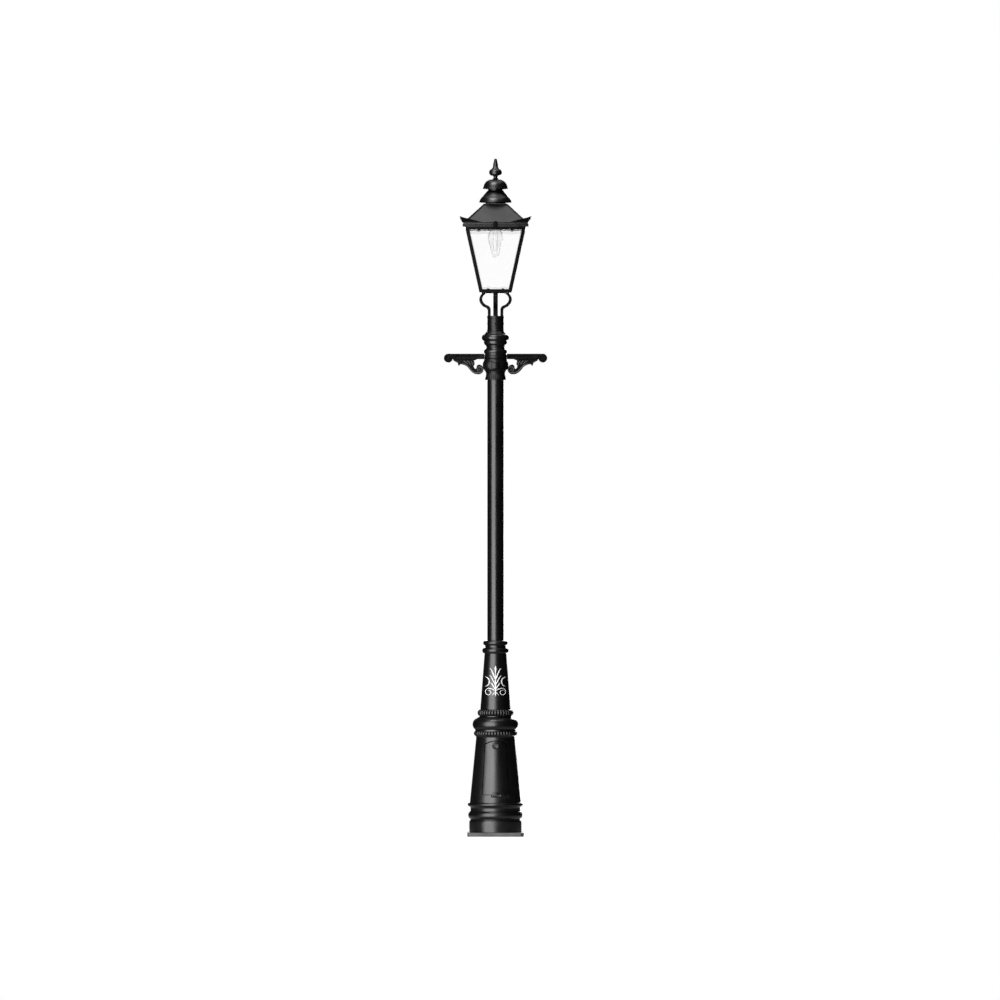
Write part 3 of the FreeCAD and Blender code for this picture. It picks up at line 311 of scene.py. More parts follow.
def ring_of(centre, across, up, around):
    """Points round a centre, from the two half axes of their ellipse."""
    turns = [math.tau * step / around for step in range(around)]
    return [tuple(centre + across * math.cos(turn) + up * math.sin(turn)) for turn in turns]


def sphere(centre, radii, rings=8, around=14):
    """Closed ball, stretched along the axes."""
    verts = [(centre[0], centre[1], centre[2] - radii[2])]
    for ring in range(1, rings):
        tilt = math.pi * ring / rings
        for step in range(around):
            turn = math.tau * step / around
            verts.append((centre[0] + radii[0] * math.sin(tilt) * math.cos(turn),
                          centre[1] + radii[1] * math.sin(tilt) * math.sin(turn),
                          centre[2] - radii[2] * math.cos(tilt)))
    verts.append((centre[0], centre[1], centre[2] + radii[2]))
    top = len(verts) - 1
    last = top - around
    lid = [(last + step, top, last + (step + 1) % around) for step in range(around)]
    return verts, disc_faces(0, rings - 1, around) + lid


# ---------------------------------------------------------------- materials

def node_material(name):
    """A material with its node tree and its shader."""
    material = bpy.data.materials.new(name)
    material.use_nodes = True
    tree = material.node_tree
    return material, tree, tree.nodes["Principled BSDF"]


def noise(tree, scale, detail=3.0, rough=0.55, stretch=(1, 1, 1)):
    """The value of a noise texture in object coordinates."""
    place = tree.nodes.new("ShaderNodeTexCoord")
    mapping = tree.nodes.new("ShaderNodeMapping")
    mapping.inputs["Scale"].default_value = stretch
    tree.links.new(place.outputs["Object"], mapping.inputs["Vector"])
    pattern = tree.nodes.new("ShaderNodeTexNoise")
    pattern.inputs["Scale"].default_value = scale
    pattern.inputs["Detail"].default_value = detail
    pattern.inputs["Roughness"].default_value = rough
    tree.links.new(mapping.outputs["Vector"], pattern.inputs["Vector"])
    return pattern.outputs["Fac"]


def spread(tree, source, low_in, high_in, low_out=0, high_out=1):
    """Map a texture's range onto another."""
    ranged = tree.nodes.new("ShaderNodeMapRange")
    ranged.inputs["From Min"].default_value = low_in
    ranged.inputs["From Max"].default_value = high_in
    ranged.inputs["To Min"].default_value = low_out
    ranged.inputs["To Max"].default_value = high_out
    tree.links.new(source, ranged.inputs["Value"])
    return ranged.outputs["Result"]


def bump(tree, shader, *layers):
    """Stack bump layers of (height, strength, distance in metres)."""
    previous = None
    for height, strength, distance in layers:
        layer = tree.nodes.new("ShaderNodeBump")
        layer.inputs["Strength"].default_value = strength
        layer.inputs["Distance"].default_value = distance
        tree.links.new(height, layer.inputs["Height"])
        if previous:
            tree.links.new(previous, layer.inputs["Normal"])
        previous = layer.outputs["Normal"]
    tree.links.new(previous, shader.inputs["Normal"])


def blend(tree, factor, *colours):
    """Mix two colours, each a tuple or the output of another node."""
    mix = tree.nodes.new("ShaderNodeMix")
    mix.data_type = "RGBA"
    for name, colour in zip("AB", colours):
        if isinstance(colour, tuple):
            mix.inputs[name].default_value = (*colour, 1)
        else:
            tree.links.new(colour, mix.inputs[name])
    tree.links.new(factor, mix.inputs["Factor"])
    return mix.outputs["Result"]


def scaled(colour, share):
    """A colour with all channels multiplied."""
    return tuple(channel * share for channel in colour)


def grey(level):
    """A neutral colour."""
    return level, level, level


def edge_wear(tree):
    """White where the surface is a worn edge, from the mesh's pointiness and a noise."""
    geometry = tree.nodes.new("ShaderNodeNewGeometry")
    product = tree.nodes.new("ShaderNodeMath")
    product.operation = "MULTIPLY"
    tree.links.new(spread(tree, geometry.outputs["Pointiness"], 0.52, 0.60), product.inputs[0])
    tree.links.new(spread(tree, noise(tree, 45, 4), 0.42, 0.62), product.inputs[1])
    return product.outputs["Value"]


def black_paint(name, roughness, grain, relief, base=(0.0012, 0.0012, 0.0013),
                worn_colour=(0.012, 0.012, 0.0125), specular=0.5):
    """Black gloss paint: colour drift, uneven gloss, brushed-out film over a cast or rolled skin."""
    material, tree, shader = node_material(name)
    drift = spread(tree, noise(tree, 6, 5), 0.35, 0.7)
    colour = blend(tree, drift, base, scaled(base, 2.2))
    worn = blend(tree, edge_wear(tree), colour, worn_colour)
    tree.links.new(worn, shader.inputs["Base Color"])
    smear = noise(tree, 18, 4, stretch=(1, 1, 0.35))
    gloss = spread(tree, smear, 0.3, 0.7, roughness - 0.05, roughness + 0.06)
    tree.links.new(gloss, shader.inputs["Roughness"])
    broad, fine = noise(tree, grain / 9, 3), noise(tree, grain, 4, 0.6)
    bump(tree, shader, (broad, 0.2, relief * 2), (fine, 0.25, relief))
    shader.inputs["Specular IOR Level"].default_value = specular
    return material


def metal(name, colour, roughness, tarnish, stretch=(1, 1, 1)):
    """Bare metal with fine scratches along one direction and dull patches."""
    material, tree, shader = node_material(name)
    shader.inputs["Metallic"].default_value = 1.0
    patches = noise(tree, 22, 5)
    tree.links.new(blend(tree, spread(tree, patches, 0.4, 0.7), colour, tarnish),
                   shader.inputs["Base Color"])
    tree.links.new(spread(tree, patches, 0.3, 0.7, roughness, roughness + 0.18),
                   shader.inputs["Roughness"])
    bump(tree, shader, (noise(tree, 140, 2, stretch=stretch), 0.2, 0.0002))
    return material


def silver_paint():
    """Silver paint on raised work, with painted shade: grey in its hollows."""
    material, tree, shader = node_material("silver_relief")
    geometry = tree.nodes.new("ShaderNodeNewGeometry")
    # Painted shade: the relief's hollows, found by pointiness, turn grey.
    hollow_shade = spread(tree, geometry.outputs["Pointiness"], 0.44, 0.53, 1, 0)
    tree.links.new(blend(tree, hollow_shade, (0.82, 0.82, 0.81), grey(0.2)), shader.inputs["Base Color"])
    shader.inputs["Metallic"].default_value = 0.35
    grain = noise(tree, 300)
    tree.links.new(spread(tree, grain, 0.3, 0.7, 0.3, 0.46), shader.inputs["Roughness"])
    bump(tree, shader, (grain, 0.3, 0.0003))
    return material


def clear_glass(name, tint, alpha, dust, rim=None):
    """Clear glass with a little dust, slightly wavy; rim is a painted shade colour for where it is seen
    edge-on.
    """
    material, tree, shader = node_material(name)
    shader.inputs["Transmission Weight"].default_value = 1.0
    shader.inputs["IOR"].default_value = 1.45
    haze = noise(tree, 9, 5)
    colour = blend(tree, spread(tree, haze, 0.4, 0.8), tint, scaled(tint, 0.97))
    if rim:
        # Painted shade: the colour moves towards the rim colour where the glass is seen edge-on.
        facing = tree.nodes.new("ShaderNodeLayerWeight")
        edge_on_shade = spread(tree, facing.outputs["Facing"], 0.45, 0.9, 1, 0)
        colour = blend(tree, edge_on_shade, rim, colour)
    tree.links.new(colour, shader.inputs["Base Color"])
    tree.links.new(spread(tree, haze, 0.4, 0.8, 0.0, dust), shader.inputs["Roughness"])
    shader.inputs["Alpha"].default_value = alpha
    bump(tree, shader, (noise(tree, 5, 1), 0.12, 0.0008))
    return material


def plywood():
    """Varnished board with its grain upright."""
    material, tree, shader = node_material("varnished_board")
    grain = noise(tree, 18, 6, 0.65, stretch=(9, 9, 0.8))
    tree.links.new(blend(tree, spread(tree, grain, 0.3, 0.7), (0.36, 0.21, 0.1), (0.55, 0.37, 0.2)),
                   shader.inputs["Base Color"])
    tree.links.new(spread(tree, grain, 0.3, 0.7, 0.35, 0.5), shader.inputs["Roughness"])
    bump(tree, shader, (grain, 0.2, 0.0003))
    return material


def moulded(name, colour, roughness, speckle=0.12):
    """Moulded plastic, rubber or enamel with fine orange peel."""
    material, tree, shader = node_material(name)
    shade = noise(tree, 30, 4)
    tree.links.new(blend(tree, shade, colour, scaled(colour, 1 - speckle)), shader.inputs["Base Color"])
    tree.links.new(spread(tree, shade, 0.3, 0.7, roughness - 0.05, roughness + 0.08),
                   shader.inputs["Roughness"])
    bump(tree, shader, (noise(tree, 260), 0.25, 0.00025))
    return material


CAST = black_paint("black_casting_paint", 0.30, 260, 0.0005)
DULL = black_paint("black_dull_paint", 0.24, 240, 0.0002, worn_colour=grey(0.004), specular=0.06)
SOFT = black_paint("black_soft_paint", 0.34, 260, 0.0004, worn_colour=grey(0.004), specular=0.26)
RELIEF = black_paint("black_relief_paint", 0.42, 260, 0.0003, base=(0.006, 0.006, 0.0062))
TUBE = black_paint("black_tube_paint", 0.27, 180, 0.00018)
SHEET = black_paint("black_sheet_paint", 0.26, 220, 0.00012, worn_colour=grey(0.003), specular=0.3)
ROOF = black_paint("roof_paint", 0.36, 240, 0.0002, base=(0.006, 0.006, 0.0062))
# Lighter grey base and worn colours: partly dust, partly painted sheen where the plate's flat front
# catches the light.
FOOT = black_paint("dust_and_sheen_foot_paint", 0.5, 200, 0.0006, base=(0.034, 0.034, 0.0332),
                   worn_colour=(0.07, 0.07, 0.068))
SILVER = silver_paint()
ZINC = metal("zinc_plate", (0.56, 0.57, 0.58), 0.32, (0.38, 0.39, 0.4))
BRASS = metal("machined_brass", (0.66, 0.47, 0.18), 0.25, (0.33, 0.21, 0.08), stretch=(1, 1, 9))
PANE = clear_glass("pane_glass", grey(1.0), 0.22, 0.02)
# The lamp's grey rim is painted shade along the envelope's outline.
BULB = clear_glass("lamp_glass", grey(0.98), 1.0, 0.03, rim=grey(0.45))
BOARD = plywood()
MOULDING = moulded("cutout_moulding", (0.035, 0.035, 0.038), 0.42)
RUBBER = moulded("seal_rubber", grey(0.012), 0.7)
ENAMEL = moulded("grey_enamel", (0.26, 0.26, 0.25), 0.38)
PORCELAIN = moulded("porcelain", (0.62, 0.6, 0.55), 0.12, 0.05)


# ---------------------------------------------------------------- stage, camera and light

def shade_floor():
    """Pale floor whose alpha fades to nothing away from the post."""
    material, tree, shader = node_material("studio_floor")
    tree.links.new(blend(tree, noise(tree, 30), grey(0.86), grey(0.9)), shader.inputs["Base Color"])
    shader.inputs["Roughness"].default_value = 0.6
    shader.inputs["Emission Color"].default_value = (1, 1, 1, 1)
    shader.inputs["Emission Strength"].default_value = 0.5
    place = tree.nodes.new("ShaderNodeTexCoord")
    distance = tree.nodes.new("ShaderNodeVectorMath")
    distance.operation = "LENGTH"
    tree.links.new(place.outputs["Object"], distance.inputs[0])
    tree.links.new(spread(tree, distance.outputs["Value"], 0.3, 1.6, 0.3, 0), shader.inputs["Alpha"])
    return material


def floor():
    """Round studio floor that fades out away from the post."""
    rings, around = 24, 96
    verts = [(0, 0, 0)]
    for ring in range(1, rings + 1):
        for step in range(around):
            angle = math.tau * step / around
            radius = FLOOR_RADIUS * ring / rings
            verts.append((radius * math.cos(angle), radius * math.sin(angle), 0))
    mesh = mesh_of("floor", (verts, disc_faces(0, rings, around)))
    mesh.materials.append(shade_floor())
    disc = bpy.data.objects.new("floor", mesh)
    bpy.context.scene.collection.objects.link(disc)


def softbox(name, place, target, wide, tall, radiance):
    """Rectangular lamp of a stated brightness that isn't seen directly or through glass."""
    light = bpy.data.lights.new(name, "AREA")
    light.shape = "RECTANGLE"
    light.size, light.size_y = wide, tall
    light.energy = radiance * math.pi * wide * tall
    lamp = bpy.data.objects.new(name, light)
    lamp.location = place
    lamp.rotation_euler = (Vector(target) - Vector(place)).to_track_quat("-Z", "Y").to_euler()
    lamp.visible_camera = False
    lamp.visible_transmission = False
    bpy.context.scene.collection.objects.link(lamp)


def by_azimuth(azimuth, distance, height):
    """A place round the post; azimuth 0 is in front and positive turns to the right."""
    angle = math.radians(azimuth)
    return distance * math.sin(angle), -distance * math.cos(angle), height


def studio():
    """White backdrop for the camera and glass, dim light from all round, and five lamps."""
    world = bpy.data.worlds.new("studio")
    bpy.context.scene.world = world
    world.use_nodes = True
    tree = world.node_tree
    backdrop = tree.nodes["Background"]
    path = tree.nodes.new("ShaderNodeLightPath")
    seen = tree.nodes.new("ShaderNodeMath")
    seen.operation = "MAXIMUM"
    tree.links.new(path.outputs["Is Camera Ray"], seen.inputs[0])
    tree.links.new(path.outputs["Is Transmission Ray"], seen.inputs[1])
    tree.links.new(spread(tree, seen.outputs["Value"], 0, 1, 0.02, 1.0), backdrop.inputs["Strength"])
    backdrop.inputs["Color"].default_value = (1, 1, 1, 1)
    softbox("key", by_azimuth(-29, 4.5, 1.9), (0, 0, 1.9), 4.2, 7, 6.3)
    softbox("low_key", by_azimuth(-10, 3.0, 0.75), (0, 0, 0.75), 1.5, 1.1, 1.6)
    softbox("overhead", (0, 0.3, 6.6), (0, 0, 3.2), 4, 4, 1.3)
    softbox("high_front", (-0.8, -1.5, 6.0), (0, 0, 3.4), 1.7, 1.7, 12.0)
    softbox("rear", by_azimuth(173, 4.5, 1.9), (0, 0, 1.9), 2.0, 6.5, 6.5)
    bpy.context.scene.view_settings.view_transform = "Standard"


def camera():
    """Long lens level with the middle of the post."""
    lens = bpy.data.cameras.new("camera")
    lens.sensor_width = 36
    lens.lens = 400
    lens.clip_end = 200
    eye = bpy.data.objects.new("camera", lens)
    eye.location = (0.024, -60, 1.814)
    eye.rotation_euler = (math.radians(90), 0, 0)
    bpy.context.scene.collection.objects.link(eye)
    bpy.context.scene.camera = eye


# ---------------------------------------------------------------- carried-over CAD nodes

def dressed(name, material, edge):
    """Keep a CAD node, with its own paint and edges of a stated rounding."""
    thing = nodes[name]
    for index in range(max(1, len(thing.material_slots))):
        if not thing.material_slots:
            thing.data.materials.append(material)
        thing.material_slots[index].link = "OBJECT"
        thing.material_slots[index].material = material
    if edge:
        weld = thing.modifiers.new("weld", "WELD")
        weld.merge_threshold = 1e-5
        weighted(bevelled(thing, edge))


CAD_LOOKS = [
    (FOOT, 2.5, "base_plate"),
    (CAST, 0.8, "lock_body"),
    (CAST, 0.5, "lock_barrel"),
    (TUBE, 0.5, "spigot_tube"),
    (ROOF, 0.8, "roof_shell"),
    (DULL, 3.0, "cradle_leg_right cradle_leg_back cradle_leg_left cradle_leg_front"),
    (DULL, 1.2, "cradle_plate roof_catch"),
    (DULL, 1.0, "bottom_frame"),
    (DULL, 0.8, "top_frame corner_bar_1 corner_bar_2 corner_bar_3 corner_bar_4"),
    (DULL, 0.6, "corner_ears"),
    (DULL, 0.5, "set_screws lantern_floor catch_keeper"),
    (DULL, 0.4, "glazing_clips"),
    (PANE, 0, "pane_front pane_right pane_back pane_left"),
    (ZINC, 0.8, "shaft_seat flange_bolts"),
    (ZINC, 0.5, "arm_studs lamp_bridge"),
    (ZINC, 0.4, "door_hinge_pin roof_hinge_pin finial_rod"),
    (BRASS, 0.6, "cable_gland lamp_cap"),
    (BRASS, 0.5, "earth_stud"),
    (BOARD, 0.8, "backboard"),
    (MOULDING, 1.5, "fused_cutout"),
    (ENAMEL, 1.2, "control_gear"),
    (PORCELAIN, 1.0, "lampholder"),
]


# ---------------------------------------------------------------- pedestal

def beads(count, low_z, high_z, base):
    """A wave that divides a roll into a string of beads."""
    depth = 0.42

    def wave(angle, radius, height):
        if not low_z < height < high_z or radius < base:
            return radius
        swell = math.sqrt(abs(math.cos(angle * count / 2)))
        return base + (radius - base) * (1 - depth + depth * swell)
    return wave


def roll(radius, height, half, inner_low, inner_high):
    """Outline of a half-round moulding about a height."""
    return [(inner_low, height - half), (radius, height, "crown"), (inner_high, height + half)]


def pedestal_radius(height):
    """Radius of the pedestal's plain taper."""
    share = (height - PEDESTAL_FOOT[1]) / (PEDESTAL_HEAD[1] - PEDESTAL_FOOT[1])
    return PEDESTAL_FOOT[0] + share * (PEDESTAL_HEAD[0] - PEDESTAL_FOOT[0])


def split_large_faces(editable):
    """Split faces of more than four corners and drop slivers."""
    large = [face for face in editable.faces if len(face.verts) > 4]
    bmesh.ops.triangulate(editable, faces=large)
    bmesh.ops.dissolve_degenerate(editable, dist=WELD_REACH, edges=editable.edges)


def carved(piece, cutter):
    """Cut a closed part out of a piece and keep the result as the piece's mesh."""
    tool_mesh = mesh_of("cutter", cutter)
    cleaned(tool_mesh, close_and_orient)
    tool = bpy.data.objects.new("cutter", tool_mesh)
    bpy.context.scene.collection.objects.link(tool)
    boolean = piece.modifiers.new("opening", "BOOLEAN")
    boolean.operation = "DIFFERENCE"
    boolean.object = tool
    while piece.modifiers[0] != boolean:
        piece.modifiers.move(len(piece.modifiers) - 1, 0)
    kept = [modifier for modifier in piece.modifiers if modifier != boolean]
    for modifier in kept:
        modifier.show_viewport = False
    bpy.context.view_layer.update()
    evaluated = piece.evaluated_get(bpy.context.evaluated_depsgraph_get())
    result = bpy.data.meshes.new_from_object(evaluated)
    cleaned(result, split_large_faces)
    piece.modifiers.remove(boolean)
    for modifier in kept:
        modifier.show_viewport = True
    bpy.data.objects.remove(tool)
    piece.data = result
    return piece


def door_opening(gap, head_gap):
    """Outline of the opening, with its gap beside and below the door and above its head."""
    foot, shoulder, crown = DOOR_FOOT - gap, DOOR_SHOULDER + head_gap, DOOR_CROWN + head_gap
    wide, narrow = DOOR_FOOT_HALF + gap, DOOR_HEAD_HALF + gap
    outline = [(-wide, foot), (wide, foot), (narrow, shoulder)]
    return outline + arc_points((narrow, shoulder), (0, crown), (-narrow, shoulder), 20)


def chamfered(start, end, chamfer=0.8):
    """Stations along X with how far the outline shrinks at each."""
    return (start, chamfer), (start + chamfer, 0), (end - chamfer, 0), (end, chamfer)


def bar_along_x(start, end, y, z, radius, around=40):
    """Round bar along X with chamfered ends."""
    rings = []
    for x, shrink in chamfered(start, end):
        rings.append([(x, y + (radius - shrink) * math.cos(math.tau * step / around),
                       z + (radius - shrink) * math.sin(math.tau * step / around))
                      for step in range(around)])
    return loft(rings)


def block_along_x(start, end, outline):
    """Prism along X over an outline of (y, z), with slightly smaller end faces."""
    centre_y = sum(y for y, _ in outline) / len(outline)
    centre_z = sum(z for _, z in outline) / len(outline)
    rings = []
    for x, shrink in chamfered(start, end):
        ring = []
        for y, z in outline:
            out = Vector((y - centre_y, z - centre_z))
            out *= 1 - shrink / max(out.length, 1)
            ring.append((x, centre_y + out.x, centre_z + out.y))
        rings.append(ring)
    return loft(rings)


def pedestal():
    """Lower casting with mouldings, beaded ring, door opening and the fixed hinge lugs."""
    outline = [
        (142, PLATE_TOP), (142, 78), (139.5, 84), (135, 88),
        *roll(147.4, 113, 22, 135, 135), (135, 151), *roll(150, 170, 11, 138, 138),
        PEDESTAL_FOOT, PEDESTAL_HEAD, *roll(117, 553, 14, 106.5, 110), (110, JOINT),
        (66, JOINT), (66, 563), (92.5, 563), (92.5, 533), (126, 186), (123, 170), (123, 84),
        (130, 72), (130, 33), (90, 33), (90, PLATE_TOP),
    ]
    casting = lathe("pedestal_casting", outline, CAST, "post", ("base_casting",), segments=400,
                    wave=beads(40, 540, 566, 107))
    opening = door_opening(2, 4)
    carved(casting, loft([[(x, y, z) for x, z in opening] for y in (-180, -55)]))
    lugs = []
    for start in (-27.5, 18.5):
        lugs.append(bar_along_x(start, start + 9, HINGE_DEPTH, HINGE_LEVEL, HINGE_RADIUS))
        lugs.append(block_along_x(start, start + 9, [(-143, 213), (-124, 212), (-124, 221),
                                                     (-143, 221)]))
    bevelled(mesh_piece("door_hinge_lugs", merged(lugs), CAST, "post"), 0.6)


def neck_casting():
    """Upper casting with the large roll, beaded ring, tapered neck and two rings."""
    outline = [
        (110, JOINT), (124, 601, "crown"), (110, 631), (87, 644),
        *roll(97.5, 666, 18, 87, 81.8), NECK_FOOT, NECK_HEAD,
        *roll(71.8, 1001, 16, 59.4, 56), (56, 1025), *roll(67, 1042, 13, 56, 52),
        (SHAFT_BORE, SOCKET_TOP), (SHAFT_BORE, 955), (48.4, 947), (69.8, 690), (69.8, 680),
        (66, 680), (66, 652), (98, 621), (98, 587), (66, 587), (66, JOINT),
    ]
    lathe("neck_casting", outline, CAST, "post", ("upper_casting",), segments=408,
          wave=beads(34, 650, 682, 85))


def plain_tube():
    """Parallel steel tube between the neck and the capital."""
    foot, head = 692, CAPITAL_JOINT
    outline = [(SPIGOT_BORE, foot), (SHAFT_RADIUS, foot), (SHAFT_RADIUS, head), (SPIGOT_BORE, head)]
    lathe("shaft", outline, TUBE, "post", ("shaft_tube",), segments=160, edge=0.8)


# ---------------------------------------------------------------- door

def on_round(x, z, radius):
    """A point on the front of a round body of a stated radius."""
    return x, -math.sqrt(radius * radius - x * x), z


def door_half(z):
    """Half width of the door at a height."""
    share = min(1, (z - DOOR_FOOT) / (DOOR_SHOULDER - DOOR_FOOT))
    return DOOR_FOOT_HALF - (DOOR_FOOT_HALF - DOOR_HEAD_HALF) * share


def door_head(across):
    """Height of the arched top at a share of the half width."""
    ends = (-DOOR_HEAD_HALF, DOOR_SHOULDER), (DOOR_HEAD_HALF, DOOR_SHOULDER)
    centre = circle_through(ends[0], (0, DOOR_CROWN), ends[1])[1]
    x = across * DOOR_HEAD_HALF
    return centre + math.sqrt((DOOR_CROWN - centre) ** 2 - x * x)


def door_spot(across, up, softening=1.4):
    """Place on the door at shares of its width and height, and how far its edge falls away there."""
    head = door_head(across)
    z = DOOR_FOOT + up * (head - DOOR_FOOT)
    half = door_half(z)
    x = across * half
    edge = min(half - abs(x), z - DOOR_FOOT, head - z)
    return x, z, max(0, 1 - edge / softening) ** 2 * softening


def door():
    """Curved cast panel with softened edges, and the barrel of its hinge."""
    columns, rows = 56, 96
    spread_angle = math.pi / 2 * 0.98
    front, back = [], []
    for row in range(rows + 1):
        up = 0.5 - 0.5 * math.cos(row / rows * math.pi)
        for column in range(columns + 1):
            across = math.sin((column / columns * 2 - 1) * spread_angle) / math.sin(spread_angle)
            x, z, fall = door_spot(across, up)
            front.append(on_round(x, z, pedestal_radius(z) - fall))
            back.append(on_round(x, z, pedestal_radius(z) - DOOR_THICK))
    wide, shift = columns + 1, len(front)
    faces = []
    for row in range(rows):
        for column in range(columns):
            a = row * wide + column
            faces.append((a, a + 1, a + wide + 1, a + wide))
            faces.append((shift + a, shift + a + wide, shift + a + wide + 1, shift + a + 1))
    rim = list(range(wide)) + [row * wide + columns for row in range(1, rows + 1)]
    rim += [rows * wide + column for column in range(columns - 1, -1, -1)]
    rim += [row * wide for row in range(rows - 1, 0, -1)]
    for a, b in zip(rim, rim[1:] + rim[:1]):
        faces.append((a, shift + a, shift + b, b))
    weighted(mesh_piece("door_casting", (front + back, faces), CAST, "door", ("door_panel",)))
    half = 17.5
    barrel = bar_along_x(-half, half, HINGE_DEPTH, HINGE_LEVEL, HINGE_RADIUS)
    lug = block_along_x(-half, half, [(-148, 219), (-137, 219), (-135, 225), (-126, 225.5), (-126, 241),
                                      (-138, 241)])
    bevelled(mesh_piece("door_barrel", merged([barrel, lug]), CAST, "door"), 0.6)


def about_y(points, x, z, segments=64):
    """Turn an outline of (radius, y) about a line along Y."""
    rings = []
    for step in range(segments):
        angle = math.tau * step / segments
        rings.append([(x + radius * math.cos(angle), y, z + radius * math.sin(angle))
                      for radius, y in points])
    verts = [vertex for ring in rings for vertex in ring]
    return verts, ring_faces(segments, len(points))


def lock_ring():
    """Turned escutcheon round the lock, with two raised rings."""
    outline = [(9.4, -114.6), (11.5, -115.4), (13, -114.4), (15, -115.4), (17.6, -114.2), (19.5, -111.2),
               (19.5, -104), (9.4, -104)]
    ring = about_y(rounded(outline, 0.5, closed=True), 0, LOCK_LEVEL)
    weighted(mesh_piece("lock_escutcheon", ring, CAST, "door"))


# ---------------------------------------------------------------- ornament on the neck

def neck_radius(height):
    """Radius of the neck's plain taper."""
    share = (height - NECK_FOOT[1]) / (NECK_HEAD[1] - NECK_FOOT[1])
    return NECK_FOOT[0] + share * (NECK_HEAD[0] - NECK_FOOT[0])


def raised_leaf(points, height=4.2, groove=0.35, steps=7):
    """Leaf or stem on the neck: (x, z, half width) points, domed across with a middle groove."""
    path = smooth_path(points, steps)
    lanes = 9
    verts, faces = [], []
    for index, (x, z, half) in enumerate(path):
        before, after = path[max(index - 1, 0)], path[min(index + 1, len(path) - 1)]
        along = Vector((after[0] - before[0], after[1] - before[1]))
        across = Vector((along.y, -along.x)).normalized()
        for lane in range(lanes):
            t = lane / (lanes - 1) * 2 - 1
            dome = (1 - t * t) ** 0.5 * (1 - groove * math.exp(-(t / 0.28) ** 2))
            lift = height * min(1, half / 4) * dome
            px, pz = x + across.x * half * t, z + across.y * half * t
            verts.append(on_round(px, pz, neck_radius(pz) + lift - 0.4))
    for index in range(len(path) - 1):
        for lane in range(lanes):
            a, b = index * lanes + lane, index * lanes + (lane + 1) % lanes
            faces.append((a, b, b + lanes, a + lanes))
    faces.append(tuple(range(lanes)))
    faces.append(tuple(reversed(range(len(verts) - lanes, len(verts)))))
    return verts, faces


def spiral(cx, cz, start_radius, end_radius, start_angle, turns, width, count=18):
    """Spiral stem points round a centre; positive turns run anticlockwise seen from the front."""
    points = []
    for step in range(count + 1):
        t = step / count
        radius = start_radius + (end_radius - start_radius) * t
        angle = math.radians(start_angle) + math.tau * turns * t
        points.append((cx + radius * math.cos(angle), cz + radius * math.sin(angle),
                       width * (1 - 0.35 * t)))
    return points


ORNAMENT_MIDDLE = [
    [(0, 868, 1.6), (0, 880, 2), (0, 890, 3), (0, 900, 5.4), (0, 909, 4.6), (0, 920, 0.6)],
    [(0, 756, 0.6), (0, 764, 3.4), (0, 772, 2.6), (0, 800, 3.6), (0, 835, 3.2), (0, 870, 2)],
]
ORNAMENT_RIGHT = [
    [(0, 845, 2.6), (7, 862, 4), (14, 879, 4.4), (20, 893, 3.8), (26, 902, 2.8), (33, 905, 0.6)],
    [(0, 816, 2.4), (8, 831, 3.6), (16, 846, 4), (22, 857, 3.4), (28, 865, 2.2), (34, 867, 0.6)],
    [(0, 790, 2.2), (7, 802, 3.4), (14, 813, 3.6), (21, 824, 2.8), (28, 830, 0.6)],
    [(56, 861, 0.8), (47, 857, 3.2), (38, 849, 4.2), (33, 836, 4.4), (36, 822, 4), (45, 812, 3.2),
     (56, 808, 0.8)],
    [(5, 778, 2), (11, 768, 2.8), (19, 760, 0.6)],
    [(4, 784, 1.8), (13, 793, 2.4)] + spiral(37, 778, 21.5, 8, 125, -1.2, 3.0),
]


def ornament():
    """Silvered foliage: a bud on a stem, with three leaves, a curl, a foot leaf and a volute a side."""
    parts = [raised_leaf(points) for points in ORNAMENT_MIDDLE]
    for side in (-1, 1):
        for points in ORNAMENT_RIGHT:
            parts.append(raised_leaf([(side * x, z, half * 0.74) for x, z, half in points]))
    mesh_piece("neck_ornament", merged(parts), SILVER, "post", ("leaf_ornament",))


# ---------------------------------------------------------------- capital and arms

def share_of(value):
    """A value held between 0 and 1."""
    return max(0, min(1, value))


def capital_wave(angle, radius, height):
    """Lobes on the capital: a cut cushion at the top, a fluted skirt and a softly lobed bulb."""
    band, skirt = CAPITAL_JOINT - 10, CAPITAL_FOOT + 30
    if radius < 47:
        return radius
    if height > band - 14:
        away = min(1, 6 * (1 - abs(math.sin(angle))))
        return radius - 3.6 * away * (1 - math.sqrt(max(0, 1 - ((height - band) / 11) ** 2)))
    if height < skirt:
        flute = abs(math.sin(angle * 14)) ** 0.6
        share = share_of((height - CAPITAL_FOOT - 4) / 4) * share_of((skirt - height) / 3)
        return radius - 2.2 * share * (1 - flute)
    share = math.sin(math.pi * share_of((height - CAPITAL_FOOT - 47) / 62))
    return radius - 3.0 * share * (1 - abs(math.cos(angle * 4)) ** 1.2)


def capital_bulb():
    """Lower part of the capital, which carries the arms."""
    skirt = [(SHAFT_BORE, 0), (57, 0), (57, 4), (54.2, 16), (51.6, 28), (51, 36), (52.4, 40),
             (55, 47)]
    cushion = [(61, 2 * step - 24) for step in range(13)]
    outline = lifted(skirt, CAPITAL_FOOT) + [(69, 2534, "crown")]
    outline += lifted([(62.5, -32), *cushion, (SHAFT_BORE, 0)], CAPITAL_JOINT)
    lathe("capital_bulb", outline, SOFT, "post", ("capital_boss",), segments=336, arc_steps=26,
          wave=capital_wave)


def capital_rings():
    """Turned rings above the arms."""
    outline = lifted([
        (SPIGOT_BORE, 0), (58, 0), (58, 7), (63, 19, "crown"), (54, 30), (48, 39), (53, 51),
        (62.5, 64, "crown"), (62, 74), (74.5, 93, "crown"), (60, 111)], CAPITAL_JOINT)
    outline += [(47, CAPITAL_HEAD), (SPIGOT_BORE, CAPITAL_HEAD)]
    lathe("capital_rings", outline, CAST, "post", ("capital_crown",))


